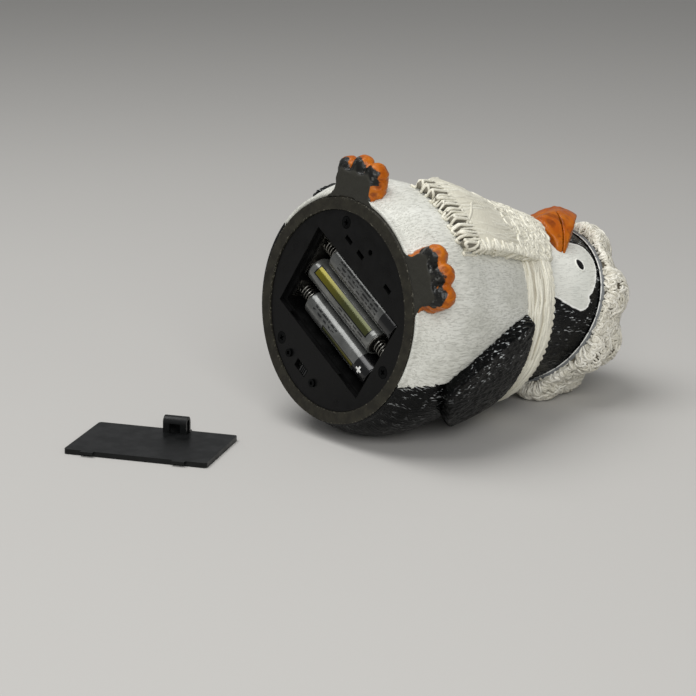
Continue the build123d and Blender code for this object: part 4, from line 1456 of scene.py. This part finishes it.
@dataclass
class Cell:
    """One dry cell with its printed film, its crimped ends and its nub."""

    number: int
    radius: float = 5.25
    length: float = 44.5
    nub_radius: float = 1.9
    nub_length: float = 0.9
    bare_radius: float = 4.55
    pitch: float = 11.3
    axis: float = 8.95
    reach: float = 26.1
    land: float = 0.1
    bay_x: float = 0.7
    bay_turn: float = -4.0
    sides: int = 64

    def profile(self) -> list[tuple[float, float]]:
        """Give the cell's half section, from the middle of its flat end to the middle of its nub.

        Returns:
            Radius and height of each corner.
        """
        r, nub, body = self.radius, self.nub_radius, self.length - self.nub_length
        return [(0.0, 0.25), (3.1, 0.25), (3.35, 0.0), (4.45, 0.0), (4.6, 0.12), (4.6, 0.3), (4.75, 0.12),
                (r - 0.12, 0.05), (r, 0.3), (r, 1.2), (r, 12.0), (r, 24.0), (r, 36.0), (r, body - 1.0),
                (r, body - 0.35), (r - 0.2, body - 0.05), (4.5, body), (4.3, body - 0.25), (3.2, body - 0.3),
                (2.9, body - 0.1), (nub + 0.25, body - 0.1), (nub, body + 0.1), (nub, self.length - 0.2),
                (nub - 0.2, self.length), (0.0, self.length)]

    def build(self) -> None:
        """Turn the cell's profile round its axis and print its film."""
        first, *middle, last = self.profile()
        turn = np.arange(self.sides) / self.sides * 2 * math.pi
        rings = [(rad * math.cos(t), rad * math.sin(t), z) for rad, z in middle for t in turn]
        points = np.array([(0, 0, first[1])] + rings + [(0, 0, last[1])])
        way = -1 if self.number == 1 else 1
        start = way * (self.reach - self.length - self.land)
        put = (Matrix.Translation((self.bay_x, 0, 0)) @ Matrix.Rotation(math.radians(self.bay_turn), 4, "Z")
               @ Matrix.Translation((start, (self.number - 1) * self.pitch, self.axis))
               @ Matrix.Rotation(math.radians(90 * way), 4, "Y"))
        laid = points @ np.array(put.to_3x3()).T + np.array(put.translation)
        n, top = self.sides, len(points) - 1
        faces = [[0, 1 + (k + 1) % n, 1 + k] for k in range(n)]
        faces += [[1 + i for i in quad] for quad in ring_faces(len(middle), n, closed=False)]
        faces += [[top - n + k, top - n + (k + 1) % n, top] for k in range(n)]
        name = f"cell_{self.number + 1}_wrapped"
        mesh = mesh_from(name, place(laid), faces)
        piece = make_piece(name, mesh, CELLS[self.number].dress(), f"cell_{self.number + 1}",
                           [f"battery_{self.number + 1}"])
        piece.data.materials.append(NICKEL.dress())
        layer = mesh.uv_layers.new(name="wrap")
        back = put.inverted() @ FIGURE_MM.inverted()
        for polygon in mesh.polygons:
            centre = back @ (polygon.center / MM)
            polygon.material_index = int(math.hypot(centre.x, centre.y) < self.bare_radius)
            base = math.atan2(centre.y, way * centre.x)
            for loop in polygon.loop_indices:
                own = back @ (mesh.vertices[mesh.loops[loop].vertex_index].co / MM)
                angle = base + (math.atan2(own.y, way * own.x) - base + math.pi) % (2 * math.pi) - math.pi
                layer.data[loop].uv = (angle / (2 * math.pi) + 0.5, own.z / self.length)


@dataclass
class Hardware:
    """Battery box, contacts, switch, screws, board, lamp and the loose cover, which keep their CAD shapes."""

    dressed: tuple[tuple[Finish, tuple[str, ...]], ...] = (
        (RIM, ("body_casting", "head_casting")), (CASE, ("battery_box",)), (SCREW, ("box_screws", "switch_screws")),
        (NICKEL, ("contact_plates", "contact_springs", "led_leads")), (SWITCH, ("switch_body",)),
        (SLIDER, ("switch_slider",)), (BOARD, ("circuit_board",)), (LAMP, ("led_lamp",)),
        (LID, ("cover_plate", "cover_latch")))

    def build(self) -> None:
        """Dress the painted, moulded, plated and soldered pieces."""
        for finish, nodes in self.dressed:
            material = finish.dress()
            for node in nodes:
                dress_node(node, material)


@dataclass
class Studio:
    """Pale floor, soft light and the camera."""

    floor_colour: str = "#b9b7b3"
    floor_size: float = 6.0
    # Name, place, side of the square and power of each light
    lights: tuple[tuple[str, tuple[float, float, float], float, float], ...] = (
        ("key", (-0.25, 0.25, 1.1), 0.8, 9.5), ("fill", (-0.75, -1.05, 0.75), 0.9, 12.5))
    sky: str = "#e8e9ea"
    sky_strength: float = 0.34

    def build(self) -> None:
        """Make the floor, the lights, the sky and the camera."""
        self.floor()
        for name, at, size, power in self.lights:
            lamp = bpy.data.lights.new(name, "AREA")
            lamp.energy, lamp.size = power, size
            piece = stand(name, lamp)
            piece.location = at
            piece.rotation_mode = "QUATERNION"
            piece.rotation_quaternion = (-Vector(at)).to_track_quat("-Z", "Y")
        world = bpy.data.worlds.new("studio")
        world.use_nodes = True
        sky = world.node_tree.nodes["Background"].inputs
        sky["Color"].default_value, sky["Strength"].default_value = linear(self.sky), self.sky_strength
        bpy.context.scene.world = world
        self.camera()
        bpy.context.scene.view_settings.view_transform = "Standard"

    def floor(self) -> None:
        """Make the floor, whose own colour the camera sees."""
        mesh = bpy.data.meshes.new("floor")
        half = self.floor_size / 2
        mesh.from_pydata([(-half, -half, 0), (half, -half, 0), (half, half, 0), (-half, half, 0)], [], [(0, 1, 2, 3)])
        finish = Finish("painted_board_floor", self.floor_colour, self.floor_colour, 0.75, grain_mm=30.0,
                        grain_depth_mm=0.0)
        mesh.materials.append(finish.dress())
        stand("floor", mesh)

    def camera(self) -> None:
        """Stand the camera to the figure as it stood for the photograph."""
        lens = bpy.data.cameras.new("camera")
        lens.lens, lens.sensor_width = CAMERA_LENS, 36.0
        lens.clip_start, lens.clip_end = 0.05, 20.0
        camera = stand("camera", lens)
        aim = Vector(CAMERA_AIM) - Vector(CAMERA_AT)
        stood = Matrix.Translation(CAMERA_AT) @ aim.to_track_quat("-Z", "Y").to_matrix().to_4x4()
        camera.matrix_world = FIGURE @ FITTED_LIE.inverted() @ stood
        bpy.context.scene.camera = camera


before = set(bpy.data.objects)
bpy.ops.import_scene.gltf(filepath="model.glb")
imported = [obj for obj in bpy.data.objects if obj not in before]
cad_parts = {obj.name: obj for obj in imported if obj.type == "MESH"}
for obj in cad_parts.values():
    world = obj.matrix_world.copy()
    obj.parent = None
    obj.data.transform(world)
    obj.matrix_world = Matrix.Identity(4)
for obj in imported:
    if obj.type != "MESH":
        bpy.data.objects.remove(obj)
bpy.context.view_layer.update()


def main() -> None:
    """Build every sub-assembly."""
    Studio().build()
    Hardware().build()
    for number in range(3):
        Cell(number).build()
    Plumage(Region.BODY, "body_casting", low=0.15, high=70.0, columns=1000, rows=98, relief_mm=0.24, strokes=13000,
            seed=1, middle=BELLY_FORWARD).build(PLUMAGE)
    Plumage(Region.HEAD, "head_casting", low=73.5, high=125.0, columns=620, rows=88, relief_mm=0.2, strokes=5200,
            seed=2, face_relief=0.06, lip_mm=0.22).build(FACE)
    Sculpted().build()
    Scarf().build()
    Hat().build()


if __name__ == "__main__":
    logging.basicConfig(level=logging.INFO, format="%(message)s")
    main()
